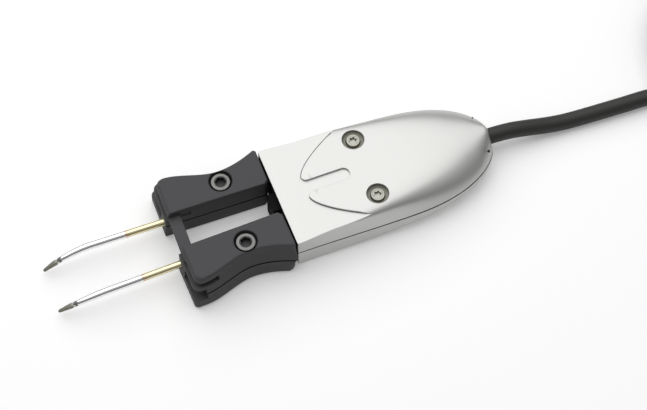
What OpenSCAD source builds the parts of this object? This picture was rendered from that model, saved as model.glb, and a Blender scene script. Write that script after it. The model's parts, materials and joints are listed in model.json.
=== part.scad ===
// Soldering tweezers: a two-part silver case, two sprung grip arms with heated tips, and a coiled cord.
// Millimetres, +Z up, +X towards the tips. The near arm is on +Y and the far arm on -Y.
// The origin is on the table, under the middle of the tool without its cord.

/* [Case] */
// Length of the case, from its front face to the face of its nose
case_len = 75; // [72:0.5:80]
// Width of the case at its front face
case_front_w = 37.2; // [36.4:0.2:38]
// Width of the case at its widest
case_max_w = 38.6; // [38:0.2:41]
// Distance of the widest place behind the front face
case_widest = 40; // [37:0.5:44]
// Height of the case
case_h = 14.6; // [14.2:0.1:16]
// Height of the parting seam above the table
seam_z = 7.2; // [7:0.1:7.6]
// Thickness of the case's side walls and floor
wall = 1.8; // [1.5:0.1:2.1]
// Thickness of the case's top
top_wall = 2.2; // [1.9:0.1:2.5]
// Step between the front of the top and the raised rear panel
panel_step = 0.6; // [0.4:0.05:0.8]
// Distance of the panel's two lobes behind the front face
lobe_at = 9.7; // [8:0.1:12]
// Width of the slot between the lobes
lobe_slot_w = 4.4; // [3.6:0.2:5.4]
// Distance of the slot's round end behind the front face
lobe_slot_end = 25.4; // [23:0.2:28]

/* [Case screws and pivots] */
// Distance of the pivots behind the front face
pivot_back = 31; // [29:0.5:33]
// Distance of each pivot from the middle line
pivot_out = 11; // [10.6:0.1:11.4]
// Diameter of the pivot sleeves
sleeve_d = 4; // [3.8:0.1:4.4]
// Diameter of the case screws
case_screw_d = 2.5; // [2:0.1:2.8]
// Diameter of the case screws' heads
case_head_d = 4.7; // [4.2:0.1:5.4]
// Diameter of the round recesses over the case screws
counterbore_d = 7.4; // [6.8:0.1:8]
// Depth of those recesses
counterbore_deep = 2.4; // [2.2:0.1:2.6]

/* [Arms] */
// Angle by which each sprung arm stands open
arm_open = 1.2; // [0.8:0.1:1.6]
// Angle by which each arm closes from there
arm_close = 3.7; // [3:0.1:3.8]
// Width of the levers
lever_w = 6; // [5.4:0.1:6.4]
// Thickness of the levers
lever_t = 6; // [5.4:0.1:6.4]
// Diameter of the levers' eyes
lever_eye_d = 8.4; // [7.8:0.1:9]
// Distance of each grip's inner wall from the middle line when the arms lie parallel
inner_wall_y = 5; // [4.8:0.1:5.2]

/* [Grips] */
// Height of the grips
grip_h = 15; // [14.6:0.1:16]
// Gap between the grips and the case
grip_gap = 0.9; // [0.7:0.1:1.4]
// Distance of the grips' front faces ahead of the case
grip_front = 35.8; // [34:0.2:38]
// Distance from the middle line to the rear horn, at the grip's top
horn_y = 18.7; // [18:0.1:19.2]
// Distance from the middle line to the waist, at the grip's top
waist_y = 14.7; // [14.6:0.1:15.4]
// Distance of the waist ahead of the case
waist_at = 15.5; // [14:0.5:17]
// Distance from the middle line to the front flare, at the grip's top
flare_y = 18.4; // [17.6:0.1:19]
// How far the grips widen from the top to the seam
side_draft = 2; // [1.4:0.1:2.4]
// Diameter of the clamp screws
grip_screw_d = 3; // [2.6:0.1:3.2]
// Diameter of the clamp screws' heads
grip_head_d = 6.5; // [6:0.1:6.6]
// Width of the nuts across their flats
grip_nut_w = 5.5; // [5:0.1:6]

/* [Guide bar] */
// Width of the bar that keeps the arms level
bar_w = 4.1; // [3.6:0.1:4.4]
// Thickness of that bar
bar_t = 1.5; // [1.2:0.1:1.6]
// Depth of the top of its slot under the grips' tops
bar_slot_deep = 2.4; // [2.2:0.1:2.8]
// Height of its slot
bar_slot_h = 2; // [1.9:0.1:2.2]
// Length of its slot along the grip
bar_slot_len = 8; // [7.8:0.2:9]
// Length of the bar inside the near grip when the arms stand open
bar_hold = 4; // [3:0.2:4.6]

/* [Tips] */
// Diameter of the tips
tip_d = 2.5; // [2.3:0.1:2.7]
// Distance of the tips' axes from the grips' inner walls
tip_inset = 1.9; // [1.8:0.05:2.2]
// Distance of the rear ends of the tips ahead of the case
tip_rear = 20.8; // [20.6:0.1:21.4]
// Length of the tips' contact ends
contact_len = 4; // [3.4:0.1:5]
// Distance of the front of the gilded barrels ahead of the case
barrel_end = 50.3; // [46:0.5:54]
// Distance of the tips' ends ahead of the case
tip_reach = 79; // [78:0.5:82]
// Length of the bent part of the tips
bend_len = 17; // [15:0.5:20]
// Length of the tinned bits
bit_len = 5.4; // [4.4:0.2:7]
// How far the bend takes the tips' ends down
tip_drop = 4.6; // [3.6:0.2:5]
// How far the bend takes the tips' ends inwards
tip_toe_in = 1.3; // [0.8:0.1:1.4]

/* [Cord] */
// Diameter of the cord
cord_d = 5.6; // [5:0.1:6]
// Diameter of the coupling ring on the cord's plug
plug_ring_d = 15; // [15:0.2:16]
// Diameter of the plug's shell
plug_shell_d = 12.4; // [11.6:0.2:13]
// Diameter of the plug's nose
plug_nose_d = 11; // [10:0.2:11.2]

/* [Hidden] */
$fn = 48;

// Colours of the finishes
silver = "#d9d9d6";
black = "#3c3c3d";
steel = "#9a9a9c";
brass = "#c8a24a";
gilt = "#c9ad62";
chrome = "#d4d6d8";
tinned = "#6a6a68";
rubber = "#3a3b38";
board_green = "#3f6b4c";

// The case front's place, and small clearances
front_x = (case_len - tip_reach)/2;
run_fit = 0.03;
slip_fit = 0.1;
loose_fit = 0.3;
far_past = 60;
past = 1;
sink = 0.5;

// The case's form: the tail that the nose cuts off, the dome's extent and the edges' sharpness
tail_len = case_len + 1.5;
tail_power = 2.3;
top_nose_drop = 0.3;
bottom_nose_drop = 0.12;
nose_power = 2.4;
dome_end = 66;
dome_power = 2.6;
top_crisp = 30;
bottom_crisp = 14;
foot_flare = 0.8;
seam_bevel = 0.25;
skin = 0.06;
loft_stations = 26;
loft_steps = 20;
station_power = 1.6;

// Inside the case
ceiling_z = case_h - top_wall;
cavity_half_w = case_front_w/2 - wall;
front_room_len = pivot_back + lever_eye_d/2 + 2*loose_fit;
rear_room_end = case_len - 13;
rear_room_half_w = 9;
rear_room_low = 3;
rear_room_high = 11.6;
eye_gap = 0.2;
eye_low = seam_z - lever_t/2 - eye_gap;
eye_high = seam_z + lever_t/2 + eye_gap;
boss_d = counterbore_d + 2.6;
insert_d = case_screw_d + 1.7;
insert_low = 0.8;
case_head_h = 1.8;
counterbore_z = case_h - counterbore_deep;
drive_share = 0.56;
drive_deep = 1.2;

// The panel's lobes: their curve, the tip's radius and the points along the edge
lobe_tip_y = 3.9;
lobe_curve = 2.1;
lobe_power = 0.65;
lobe_steps = 18;
lobe_run = 19;
lobe_tip_steps = 6;

// The bezel that closes the mouth, inside a thin rim of the case
bezel_t = 1.6;
bezel_rim = 0.8;
neck_swing = pivot_back*sin(arm_open);
neck_close = pivot_back*sin(arm_close - arm_open);
window_out = pivot_out + lever_w/2 + neck_swing + loose_fit;
window_in = pivot_out - lever_w/2 - neck_close - loose_fit;

// The stop between the grips, ahead of the bezel: the closed grips stay clear of it
stop_ahead = 2.6;
stop_low = 0.8;
stop_high = 8;
stop_half_w = inner_wall_y - (pivot_back + stop_ahead)*sin(arm_close - arm_open) - loose_fit;

// The arms: levers, sockets, screws and the grips' outlines
lever_end = 20;
clamp_at = waist_at;
grip_wall_top = 3.4;
grip_head_h = 2.8;
head_pocket_d = grip_head_d + 0.7;
nut_t = 2.4;
nut_floor = 3;
tip_y = inner_wall_y + tip_inset;
socket_wall = 0.32;
socket_d = tip_d + 2*run_fit + 2*socket_wall;
socket_start = tip_rear + 0.2;
socket_end = 31;
tip_sides = 24;
bend_at = tip_reach - bend_len;
shaft_end = tip_reach - bit_len;
tip_stop = 0.6;
contact_neck = 0.5;
drop_power = 1.8;
toe_power = 2;
taper_power = 2.2;
grip_rear = grip_gap;
corner_r = 2.5;
lower_corner_r = 1.4;
rear_chamfer = 1.2;
horn_round = 1;
lip_ahead = 0.9;
lower_ahead = 1.5;
lower_horn_round = 3;
top_round = 0.5;
front_slope = 0.8;
mid_draft_share = 0.6;
rim_slope_share = 0.2;
bottom_round = 1;
lower_bulge = 0.4;
horn_power = 1.8;
side_steps = 12;
corner_steps = 5;
horn_steps = 3;
notch_deep = 3.2;
notch_low = 4.4;
notch_high = 9.4;
notch_from = 10.4;

// The guide bar's slot and length
slot_high = grip_h - bar_slot_deep;
slot_low = slot_high - bar_slot_h;
slot_rear = grip_front - bar_slot_len;
bar_front = grip_front - slip_fit;
bar_gap = 2*(inner_wall_y + (pivot_back + grip_front)*sin(arm_open));
bar_outer = 16.6;

// The return springs between the middle rib and the levers
spring_back = 12;
spring_d = 4.6;
spring_wire = 0.6;
spring_turns = 5;
spring_gap = 0.15;
spring_steps = 16;
spring_sides = 6;
rib_half_w = 1.2;
rib_len = 9;
rib_pin_d = 3;
rib_pin_len = 2.6;
lever_at_spring = pivot_out - lever_w/2 + (pivot_back - spring_back)*sin(arm_open);

// The cable's way through the nose and its clamp
cable_z = seam_z - 1;
grommet_d = cord_d + 1.8;
grommet_flange_d = cord_d + 4;
grommet_flange_t = 2.5;
grommet_len = 5.5;
cable_end_back = rear_room_end - 4;
clamp_back = rear_room_end - 5;
clamp_len = 6;
clamp_half_w = 8.2;
clamp_ear_t = 2;
clamp_screw_out = 6;
clamp_screw_d = 2;
clamp_head_d = 3.8;
clamp_head_h = 1.3;
clamp_arch = 1.2;
board_len = 8.6;
board_rib = 2;
board_w = 12;
board_t = 1.2;
board_back = clamp_back - 11;
lead_d = 0.9;
lead_pitch = 1.2;
lead_count = 4;

// The cord's route: out of the nose, down to the table and along it to the coil
exit_x = front_x - case_len;
exit_straight = 3;
coil_x = -180.5;
coil_y = -6;
coil_out_r = 34;
coil_turns = 4.9;
climb_turns = 0.75;
coil_in_r = coil_out_r - cord_d*(coil_turns - climb_turns)/2;
coil_lift = 0.8;
coil_top = coil_lift + 2*cord_d;
route = [
    [exit_x, 0, cable_z], [exit_x - exit_straight, 0, cable_z], [-86, 0.3, 5.8], [-92, 0.9, 4.8],
    [-98, 1.6, 3.7], [-104, 2.2, 3], [-110, 2.6, 2.8], [-118, 3, 2.8], [-127, 3.4, 2.8], [-135, 3.7, 2.8],
    [-141, 4.8, 2.9], [-147.5, 8.2, 3.2], [-152.5, 13.4, 3.6]];

// The plug at the end of the cord lies on the coil, along -X from the cord's end
plug_x = -169.5;
plug_y = 11;
plug_z = coil_top + plug_ring_d/2 + loose_fit;
tail_route = [
    [-174.8, -38.3, 9.2], [-164, -34.6, 9.4], [-154.9, -27.5, 10], [-148.8, -17.5, 11], [-146.5, -6, 12.4],
    [-147.8, 0.5, 14.2], [-151.5, 6, 16.2], [-157, 9.7, 18], [-163, 11, 19.4],
    [plug_x + exit_straight, plug_y, plug_z], [plug_x, plug_y, plug_z]];
cord_sides = 12;
tie_w = 8;
tie_t = 0.8;
tie_slack = 0.4;
tie_turn = -45;
boot_len = 13;
boot_end = 3;
boot_wall = 0.6;
boot_d = plug_shell_d - 2;
shell_len = 22;
plug_nose_len = 12;
plug_nose_wall = 0.8;
plug_nose_deep = 9;
collar_t = 1.4;
collar_d = plug_shell_d + 1.8;
ring_len = 12;
ring_wall_gap = 0.2;
ring_grooves = 24;
ring_groove_d = 1.2;
ring_groove_out = 0.2;
ring_land = 2;
pin_count = 5;
pin_d = 1.2;
pin_len = 7;
pin_circle = 5.4;

// Eases from 0 to 1
function ease(u) = let (c = min(1, max(0, u))) c*c*(3 - 2*c);
function unit(v) = v/norm(v);

// Half width of the case at a distance behind its front
function half_width(s) = s < case_widest
    ? (case_front_w + (case_max_w - case_front_w)*ease(s/case_widest))/2
    : case_max_w/2*sqrt(1 - pow((s - case_widest)/(tail_len - case_widest), tail_power));

// Height of a half of the case there: it falls away to the nose
function half_rise(s, h, drop) = h*(1 - drop*pow(max(0, (s - case_widest)/(case_len - case_widest)), nose_power));

// Exponent of the half's rounded section there: high is a crisp edge, low is a dome
function section_power(s, crisp) = 1/(1/crisp + (1/dome_power - 1/crisp)*pow(min(1, s/dome_end), 2));

// Points of one section of a half, from the near seam over the top to the far seam
// It widens by a flare on the way from the seam
function half_section(s, h, crisp, drop, flare) = let (
        w = half_width(s),
        rise = half_rise(s, h, drop),
        e = 2/section_power(s, crisp))
    concat(
        [[w - seam_bevel, 0], [w, seam_bevel]],
        [for (k = [1:loft_steps - 1]) let (t = 180*k/loft_steps)
            [sign(cos(t))*(w + flare*pow(sin(t), e))*pow(abs(cos(t)), e), rise*pow(sin(t), e)]],
        [[-w, seam_bevel], [seam_bevel - w, 0]]);

// A solid through rings of equal numbers of points, each right-handed about the way they are stacked
module loft(rings) {
    n = len(rings[0]);
    last = len(rings) - 1;
    faces = concat(
        [[for (k = [0:n - 1]) k]],
        [for (i = [0:last - 1]) for (k = [0:n - 1]) [i*n + k, (i + 1)*n + k, i*n + (k + 1)%n]],
        [for (i = [0:last - 1]) for (k = [0:n - 1]) [i*n + (k + 1)%n, (i + 1)*n + k, (i + 1)*n + (k + 1)%n]],
        [[for (k = [n - 1:-1:0]) last*n + k]]);
    polyhedron(points = [for (r = rings) each r], faces = faces, convexity = 6);
}

// A ring of points about a place, across a direction, with a half width and a half height
function cross_ring(p, dir, a, b, n) = let (
        side = unit(cross(dir, [0, 0, 1])),
        up = cross(side, dir))
    [for (k = [0:n - 1]) p - a*cos(360*k/n)*side + b*sin(360*k/n)*up];
function path_dir(path, i) = unit(path[min(i + 1, len(path) - 1)] - path[max(i - 1, 0)]);

// A round tube along a route
module tube(path, d, n) {
    loft([for (i = [0:len(path) - 1]) cross_ring(path[i], path_dir(path, i), d/2, d/2, n)]);
}

// One half of the case, from the seam upwards, with its flat outer face at the height h
module case_half(h, crisp, drop, flare) {
    stations = [for (i = [0:loft_stations]) case_len*(1 - pow(i/loft_stations, station_power))];
    intersection() {
        loft([for (s = stations) [for (p = half_section(s, h + skin, crisp, drop, flare)) [-s, p[0], p[1]]]]);
        translate([-case_len, -case_max_w, 0]) cube([case_len, 2*case_max_w, h]);
    }
}

// What both halves leave free: the rooms, the cable's way and the grommet's seat
module case_rooms() {
    bezel_block(0, past);
    translate([-front_room_len, -cavity_half_w, wall])
        cube([front_room_len + past, 2*cavity_half_w, ceiling_z - wall]);
    translate([-rear_room_end, -rear_room_half_w, rear_room_low])
        cube([rear_room_end - front_room_len + past, 2*rear_room_half_w, rear_room_high - rear_room_low]);
    along_nose(rear_room_end - past, case_len, cord_d + 2*slip_fit);
    along_nose(case_len - grommet_len - grommet_flange_t, case_len - grommet_len, grommet_flange_d);
    along_nose(case_len - grommet_len - slip_fit, case_len + past, grommet_d);
}

// A round bar along the case's middle line between two distances behind the front
module along_nose(from, to, d) {
    translate([-to, 0, cable_z]) rotate([0, 90, 0]) cylinder(d = d, h = to - from);
}

// Outline of half the bezel: a half of the case's front, drawn in by the rim
function bezel_half(h, full_h, crisp, gap) = let (
        w = case_front_w/2,
        line = half_section(0, full_h, crisp, 0, 0),
        keep_y = (w - bezel_rim - gap)/w,
        keep_z = (h - bezel_rim - gap)/full_h)
    [for (k = [1:len(line) - 2]) [line[k][0]*keep_y, line[k][1]*keep_z]];

// A block of the bezel's outline with a gap all round, from the bezel's back to a distance ahead of the case
module bezel_block(gap, ahead) {
    over = bezel_half(case_h - panel_step - seam_z, case_h - seam_z, top_crisp, gap);
    under = bezel_half(seam_z, seam_z, bottom_crisp, gap);
    outline = concat(
        [for (p = over) [p[0], seam_z + p[1]]],
        [for (k = [len(under) - 1:-1:0]) [under[k][0], seam_z - under[k][1]]]);
    translate([-bezel_t, 0, 0]) rotate([90, 0, 90]) linear_extrude(bezel_t + ahead) polygon(outline);
}

module at_front() { translate([front_x, 0, 0]) children(); }
module at_pivots() { for (side = [-1, 1]) translate([-pivot_back, side*pivot_out, 0]) children(); }

// Plan of the top's lower front: all that lies ahead of the lobes, and the slot between them
module panel_front() {
    lobe = [for (k = [0:lobe_steps]) let (d = lobe_run*pow(k/lobe_steps, 2))
        [-lobe_at - d, lobe_tip_y + lobe_curve*pow(d, lobe_power)]];
    inner = [for (k = [0:lobe_tip_steps]) let (a = 90*k/lobe_tip_steps, r = lobe_tip_y - lobe_slot_w/2)
        [-lobe_at - r*(1 - sin(a)), lobe_slot_w/2 + r*(1 - cos(a))]];
    half = concat([[past, 0], [-lobe_at - lobe_tip_y, 0], [-lobe_at - lobe_tip_y, lobe_slot_w/2]],
        inner, lobe, [[-lobe_at - lobe_run, case_max_w], [past, case_max_w]]);
    polygon(half);
    mirror([0, 1]) polygon(half);
    translate([-lobe_slot_end + lobe_slot_w/2, 0]) circle(d = lobe_slot_w);
    translate([-lobe_slot_end + lobe_slot_w/2, -lobe_slot_w/2]) square([lobe_slot_end - lobe_at, lobe_slot_w]);
}

module upper_shell() {
    color(silver) at_front() difference() {
        union() {
            difference() {
                translate([0, 0, seam_z]) case_half(case_h - seam_z, top_crisp, top_nose_drop, 0);
                case_rooms();
            }
            at_pivots() translate([0, 0, eye_high]) cylinder(d = boss_d, h = ceiling_z - eye_high + sink);
        }
        translate([0, 0, case_h - panel_step]) linear_extrude(past) panel_front();
        at_pivots() translate([0, 0, counterbore_z]) cylinder(d = counterbore_d, h = far_past);
        at_pivots() cylinder(d = case_screw_d + 2*slip_fit, h = case_h);
    }
}

module lower_shell() {
    rib_x = -spring_back - rib_len/2;
    color(silver) at_front() difference() {
        union() {
            difference() {
                translate([0, 0, seam_z]) mirror([0, 0, 1])
                    case_half(seam_z, bottom_crisp, bottom_nose_drop, foot_flare);
                case_rooms();
            }
            at_pivots() translate([0, 0, wall - sink]) cylinder(d = lever_eye_d, h = eye_low - wall + sink);
            translate([rib_x, -rib_half_w, wall - sink])
                cube([rib_len, 2*rib_half_w, ceiling_z - wall + sink - loose_fit]);
            translate([-spring_back, 0, seam_z]) rotate([90, 0, 0])
                cylinder(d = rib_pin_d, h = 2*(rib_half_w + rib_pin_len), center = true);
            for (side = [-1, 1]) translate([-clamp_back, side*clamp_screw_out, rear_room_low - sink])
                cylinder(d = clamp_head_d, h = seam_z - rear_room_low + sink);
            for (x = [board_rib, board_len]) translate([-board_back - x, -board_w/2, rear_room_low - sink])
                cube([board_rib, board_w, seam_z - board_t - rear_room_low + sink]);
        }
        at_pivots() translate([0, 0, insert_low]) cylinder(d = insert_d, h = case_h);
        for (side = [-1, 1]) translate([-clamp_back, side*clamp_screw_out, rear_room_low - past])
            cylinder(d = clamp_screw_d + 2*run_fit, h = case_h);
    }
}

// Black plate that closes the mouth, with a window for each lever and a stop between the grips
module front_bezel() {
    color(black) at_front() difference() {
        union() {
            bezel_block(slip_fit, 0);
            translate([-bezel_t/2, -stop_half_w, stop_low])
                cube([bezel_t/2 + stop_ahead, 2*stop_half_w, stop_high - stop_low]);
        }
        for (side = [-1, 1]) translate([-bezel_t - past, side > 0 ? window_in : -window_out, eye_low])
            cube([bezel_t + 2*past, window_out - window_in, eye_high - eye_low]);
    }
}

// A screw with a round head and a six-sided drive, its head's seat at z = 0
module screw(d, len, head_d, head_h) {
    translate([0, 0, -len]) cylinder(d = d, h = len);
    difference() {
        cylinder(d = head_d, h = head_h);
        translate([0, 0, head_h - drive_deep]) cylinder(d = drive_share*head_d, h = head_h, $fn = 6);
    }
}

module case_screws() {
    color(steel) at_front() at_pivots() translate([0, 0, counterbore_z])
        screw(case_screw_d, counterbore_z - insert_low - slip_fit, case_head_d, case_head_h);
}

module case_inserts() {
    color(brass) at_front() at_pivots() difference() {
        translate([0, 0, insert_low]) cylinder(d = insert_d, h = eye_low - insert_low);
        cylinder(d = case_screw_d + 2*run_fit, h = case_h);
    }
}

module pivot_sleeves() {
    color(steel) at_front() at_pivots() difference() {
        translate([0, 0, eye_low]) cylinder(d = sleeve_d, h = eye_high - eye_low);
        cylinder(d = case_screw_d + 2*slip_fit, h = case_h);
    }
}

module cable_grommet() {
    color(rubber) at_front() difference() {
        union() {
            along_nose(case_len - grommet_len - grommet_flange_t, case_len - grommet_len, grommet_flange_d);
            along_nose(case_len - grommet_len - sink, case_len, grommet_d);
        }
        along_nose(0, case_len + past, cord_d + 2*run_fit);
    }
}

module cable_end() { color(rubber) at_front() along_nose(cable_end_back, case_len, cord_d); }

// Arched saddle that holds the cable down on two posts
module cable_clamp() {
    color(black) at_front() difference() {
        union() {
            translate([-clamp_back - clamp_len/2, -clamp_half_w, seam_z])
                cube([clamp_len, 2*clamp_half_w, clamp_ear_t]);
            along_nose(clamp_back - clamp_len/2, clamp_back + clamp_len/2, cord_d + 2*clamp_arch);
        }
        along_nose(0, case_len, cord_d + 2*run_fit);
        translate([-case_len, -case_max_w, 0]) cube([case_len, 2*case_max_w, seam_z]);
        for (side = [-1, 1]) translate([-clamp_back, side*clamp_screw_out, 0])
            cylinder(d = clamp_screw_d + 2*slip_fit, h = case_h);
    }
}

module clamp_screws() {
    color(steel) at_front() for (side = [-1, 1])
        translate([-clamp_back, side*clamp_screw_out, seam_z + clamp_ear_t])
            screw(clamp_screw_d, seam_z + clamp_ear_t - rear_room_low, clamp_head_d, clamp_head_h);
}

// Board on two ribs where the cable's cores are soldered
module tag_board() {
    color(board_green) at_front()
        translate([-board_back - board_len, -board_w/2, seam_z - board_t]) cube([board_len, board_w, board_t]);
}
module at_cores() {
    for (k = [0:lead_count - 1]) translate([0, (k - (lead_count - 1)/2)*lead_pitch, 0]) children();
}
module solder_tags() {
    color(brass) at_front() at_cores() translate([-board_back - board_len/2, -lead_d/2, seam_z])
        cube([board_len/2 - past, lead_d, lead_d]);
}
module inner_leads() {
    color(rubber) at_front() at_cores()
        translate([-cable_end_back, 0, seam_z + lead_d/2]) rotate([0, 90, 0])
            cylinder(d = lead_d, h = cable_end_back - board_back - board_len/2);
}

// Puts a part of an arm in place: side 1 is the near arm, side -1 the far one
module arm(side) {
    at_front() mirror([0, side > 0 ? 0 : 1, 0])
        translate([-pivot_back, pivot_out, 0]) rotate(arm_open) translate([pivot_back, -pivot_out, 0]) children();
}

// Lever from the eye on the pivot sleeve, through the bezel, into the grip
module lever(side) {
    color(black) arm(side) difference() {
        translate([0, 0, seam_z - lever_t/2]) union() {
            translate([-pivot_back, pivot_out, 0]) cylinder(d = lever_eye_d, h = lever_t);
            translate([-pivot_back, pivot_out - lever_w/2, 0]) cube([pivot_back + lever_end, lever_w, lever_t]);
        }
        translate([-pivot_back, pivot_out, 0]) cylinder(d = sleeve_d + 2*run_fit, h = case_h);
        translate([clamp_at, pivot_out, 0]) cylinder(d = grip_screw_d + 2*slip_fit, h = case_h);
    }
}

// Distance of the grip's top edge from the middle line, along the grip
function side_y(x) = x < waist_at
    ? waist_y + (horn_y - waist_y)*pow((waist_at - x)/(waist_at - grip_rear), horn_power)
    : waist_y + (flare_y - waist_y)*ease((x - waist_at)/(grip_front - corner_r - waist_at));

// Outline of a grip at one height
// Its side stands out by d, its front stands back by b, g rounds its rear horn and r its front corner
function grip_outline(d, b, g, r) = let (
        xf = grip_front - b,
        xs = xf - r,
        xh = grip_rear + g,
        yc = side_y(xs) + d - r,
        yh = side_y(xh) + d - g)
    concat(
        [[grip_rear, inner_wall_y + rear_chamfer], [grip_rear + rear_chamfer, inner_wall_y], [xf, inner_wall_y]],
        [for (k = [0:corner_steps]) let (a = 90*k/corner_steps) [xs + r*cos(a), yc + r*sin(a)]],
        [for (k = [1:2*side_steps]) let (x = xs + (xh - xs)*k/(2*side_steps)) [x, side_y(x) + d]],
        [for (k = [1:horn_steps]) let (a = 90*k/horn_steps) [xh - g*sin(a), yh + g*cos(a)]]);

// Rings of a half of a grip: each is a height, then the outline's d, b and g
module grip_half(levels, r) {
    loft([for (v = levels) [for (p = grip_outline(v[1], v[2], v[3], r)) [p[0], p[1], v[0]]]]);
}

// What is cut out of both halves of a grip
module grip_cuts() {
    translate([-past, pivot_out - lever_w/2 - slip_fit, seam_z - lever_t/2])
        cube([lever_end + slip_fit + past, lever_w + 2*slip_fit, lever_t]);
    translate([clamp_at, pivot_out, -past]) cylinder(d = grip_screw_d + 2*slip_fit, h = far_past);
    along_tip(socket_start - tip_stop, far_past, tip_d + 2*slip_fit);
    along_tip(socket_start, socket_end, socket_d + 2*run_fit);
    translate([grip_front - notch_deep, notch_from, notch_low])
        cube([far_past, far_past, notch_high - notch_low]);
}

// A round bar on the tip's axis between two distances ahead of the case
module along_tip(from, to, d) {
    translate([from, tip_y, seam_z]) rotate([0, 90, 0]) cylinder(d = d, h = to - from);
}

module grip_upper(side) {
    color(black) arm(side) difference() {
        grip_half([
            [seam_z, side_draft - seam_bevel, -lip_ahead, horn_round],
            [seam_z + seam_bevel, side_draft, -lip_ahead, horn_round],
            [slot_low, mid_draft_share*side_draft, -lip_ahead, horn_round],
            [slot_high, mid_draft_share*side_draft/2, 0, horn_round],
            [grip_h - 2*top_round, top_round, rim_slope_share*front_slope, horn_round],
            [grip_h, 0, front_slope, horn_round]], corner_r);
        grip_cuts();
        translate([clamp_at, pivot_out, grip_h - grip_wall_top]) cylinder(d = head_pocket_d, h = far_past);
        translate([slot_rear, 0, slot_low]) cube([far_past, far_past, bar_slot_h]);
    }
}

module grip_lower(side) {
    color(black) arm(side) difference() {
        grip_half([
            [0, side_draft + lower_bulge - bottom_round, bottom_round/2 - lower_ahead, lower_horn_round],
            [bottom_round, side_draft + lower_bulge, -lower_ahead, lower_horn_round],
            [seam_z/2, side_draft + lower_bulge, -lower_ahead, lower_horn_round],
            [seam_z - seam_bevel, side_draft, -lip_ahead, horn_round],
            [seam_z, side_draft - seam_bevel, -lip_ahead, horn_round]], lower_corner_r);
        grip_cuts();
        translate([clamp_at, pivot_out, -past])
            cylinder(d = (grip_nut_w + 2*slip_fit)/cos(30), h = nut_floor + past, $fn = 6);
    }
}

module grip_screw(side) {
    seat = grip_h - grip_wall_top;
    color(steel) arm(side) translate([clamp_at, pivot_out, seat])
        screw(grip_screw_d, seat - nut_floor + nut_t, grip_head_d, grip_head_h);
}

module grip_nut(side) {
    color(steel) arm(side) translate([clamp_at, pivot_out, nut_floor - nut_t]) difference() {
        cylinder(d = grip_nut_w/cos(30), h = nut_t, $fn = 6);
        translate([0, 0, -past]) cylinder(d = grip_screw_d + 2*run_fit, h = nut_t + 2*past);
    }
}

module tip_socket(side) {
    color(brass) arm(side) difference() {
        along_tip(socket_start, socket_end, socket_d);
        along_tip(0, far_past, tip_d + 2*run_fit);
    }
}

// Contact end of a tip: three lands with two narrow insulated necks
module tip_contact(side) {
    land = contact_len/5;
    color(brass) arm(side) {
        along_tip(tip_rear, tip_rear + contact_len, tip_d - contact_neck);
        for (k = [0, 2, 4]) along_tip(tip_rear + k*land, tip_rear + (k + 1)*land, tip_d);
    }
}

module tip_barrel(side) { color(gilt) arm(side) along_tip(tip_rear + contact_len, barrel_end, tip_d); }

// Middle line of a tip: straight to the bend, then down and inwards
function tip_line(x) = let (u = max(0, (x - bend_at)/(tip_reach - bend_at)))
    [x, tip_y - tip_toe_in*pow(u, toe_power), seam_z - tip_drop*pow(u, drop_power)];
function tip_dir(x) = unit(tip_line(x + slip_fit) - tip_line(x - slip_fit));

// Polished shaft: straight out of the barrel, then narrower along the bend
module tip_shaft(side) {
    neck_share = 0.7;
    steps = 10;
    color(chrome) arm(side) loft(concat(
        [cross_ring(tip_line(barrel_end), [1, 0, 0], tip_d/2, tip_d/2, tip_sides)],
        [for (k = [0:steps]) let (
                x = bend_at + (shaft_end - bend_at)*k/steps,
                r = tip_d/2*(1 - (1 - neck_share)*pow(k/steps, taper_power)))
            cross_ring(tip_line(x), k == 0 ? [1, 0, 0] : tip_dir(x), r, r, tip_sides)]));
}

// Flattened, tinned blade at the end of a tip
module tip_bit(side) {
    root_share = 0.66;
    root = root_share*tip_d/2;
    edge = 0.24;
    half_blade = 0.72;
    steps = 5;
    color(tinned) arm(side) loft([for (k = [0:steps]) let (
            x = shaft_end + (tip_reach - shaft_end)*k/steps,
            u = k/steps)
        cross_ring(tip_line(x), tip_dir(x), root + (half_blade - root)*u, root + (edge - root)*u, tip_sides)]);
}

// Compression spring between the case's middle rib and a lever
module return_spring(side) {
    length = lever_at_spring - rib_half_w - 2*spring_gap - spring_wire;
    r = (spring_d - spring_wire)/2;
    count = spring_turns*spring_steps;
    color(steel) at_front() mirror([0, side > 0 ? 0 : 1, 0])
        translate([-spring_back, rib_half_w + spring_gap + spring_wire/2, seam_z])
            loft([for (i = [0:count]) let (a = 360*i/spring_steps)
                [for (k = [0:spring_sides - 1]) let (b = 360*k/spring_sides, w = spring_wire/2)
                    [(r + w*cos(b))*cos(a), length*i/count + w*sin(b), (r + w*cos(b))*sin(a)]]]);
}

// Bar across the gap: its wide head sits in the far grip and its end slides in the near one
module guide_bar() {
    color(black) arm(-1) {
        translate([slot_rear, inner_wall_y, slot_low])
            cube([bar_front - slot_rear, bar_outer - inner_wall_y, bar_slot_h]);
        translate([bar_front - bar_w, inner_wall_y - bar_gap - bar_hold, slot_low + (bar_slot_h - bar_t)/2])
            cube([bar_w, bar_gap + bar_hold + past, bar_t]);
    }
}

module cord_lead() { color(rubber) tube(route, cord_d, cord_sides); }
module cord_tail() { color(rubber) tube(tail_route, cord_d, cord_sides); }

// Outer shape of the wound cord: two layers of turns
module cord_coil() {
    mid_r = (coil_in_r + coil_out_r)/2;
    wide = coil_out_r - coil_in_r;
    color(rubber) translate([coil_x, coil_y, coil_lift + cord_d]) rotate_extrude($fn = 96) {
        translate([mid_r, 0]) square([wide, 2*cord_d], center = true);
        translate([mid_r, 0]) square([wide + cord_d, cord_d], center = true);
        for (r = [coil_in_r, coil_out_r]) for (z = [-1, 1]) translate([r, z*cord_d/2]) circle(d = cord_d);
    }
}

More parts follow.
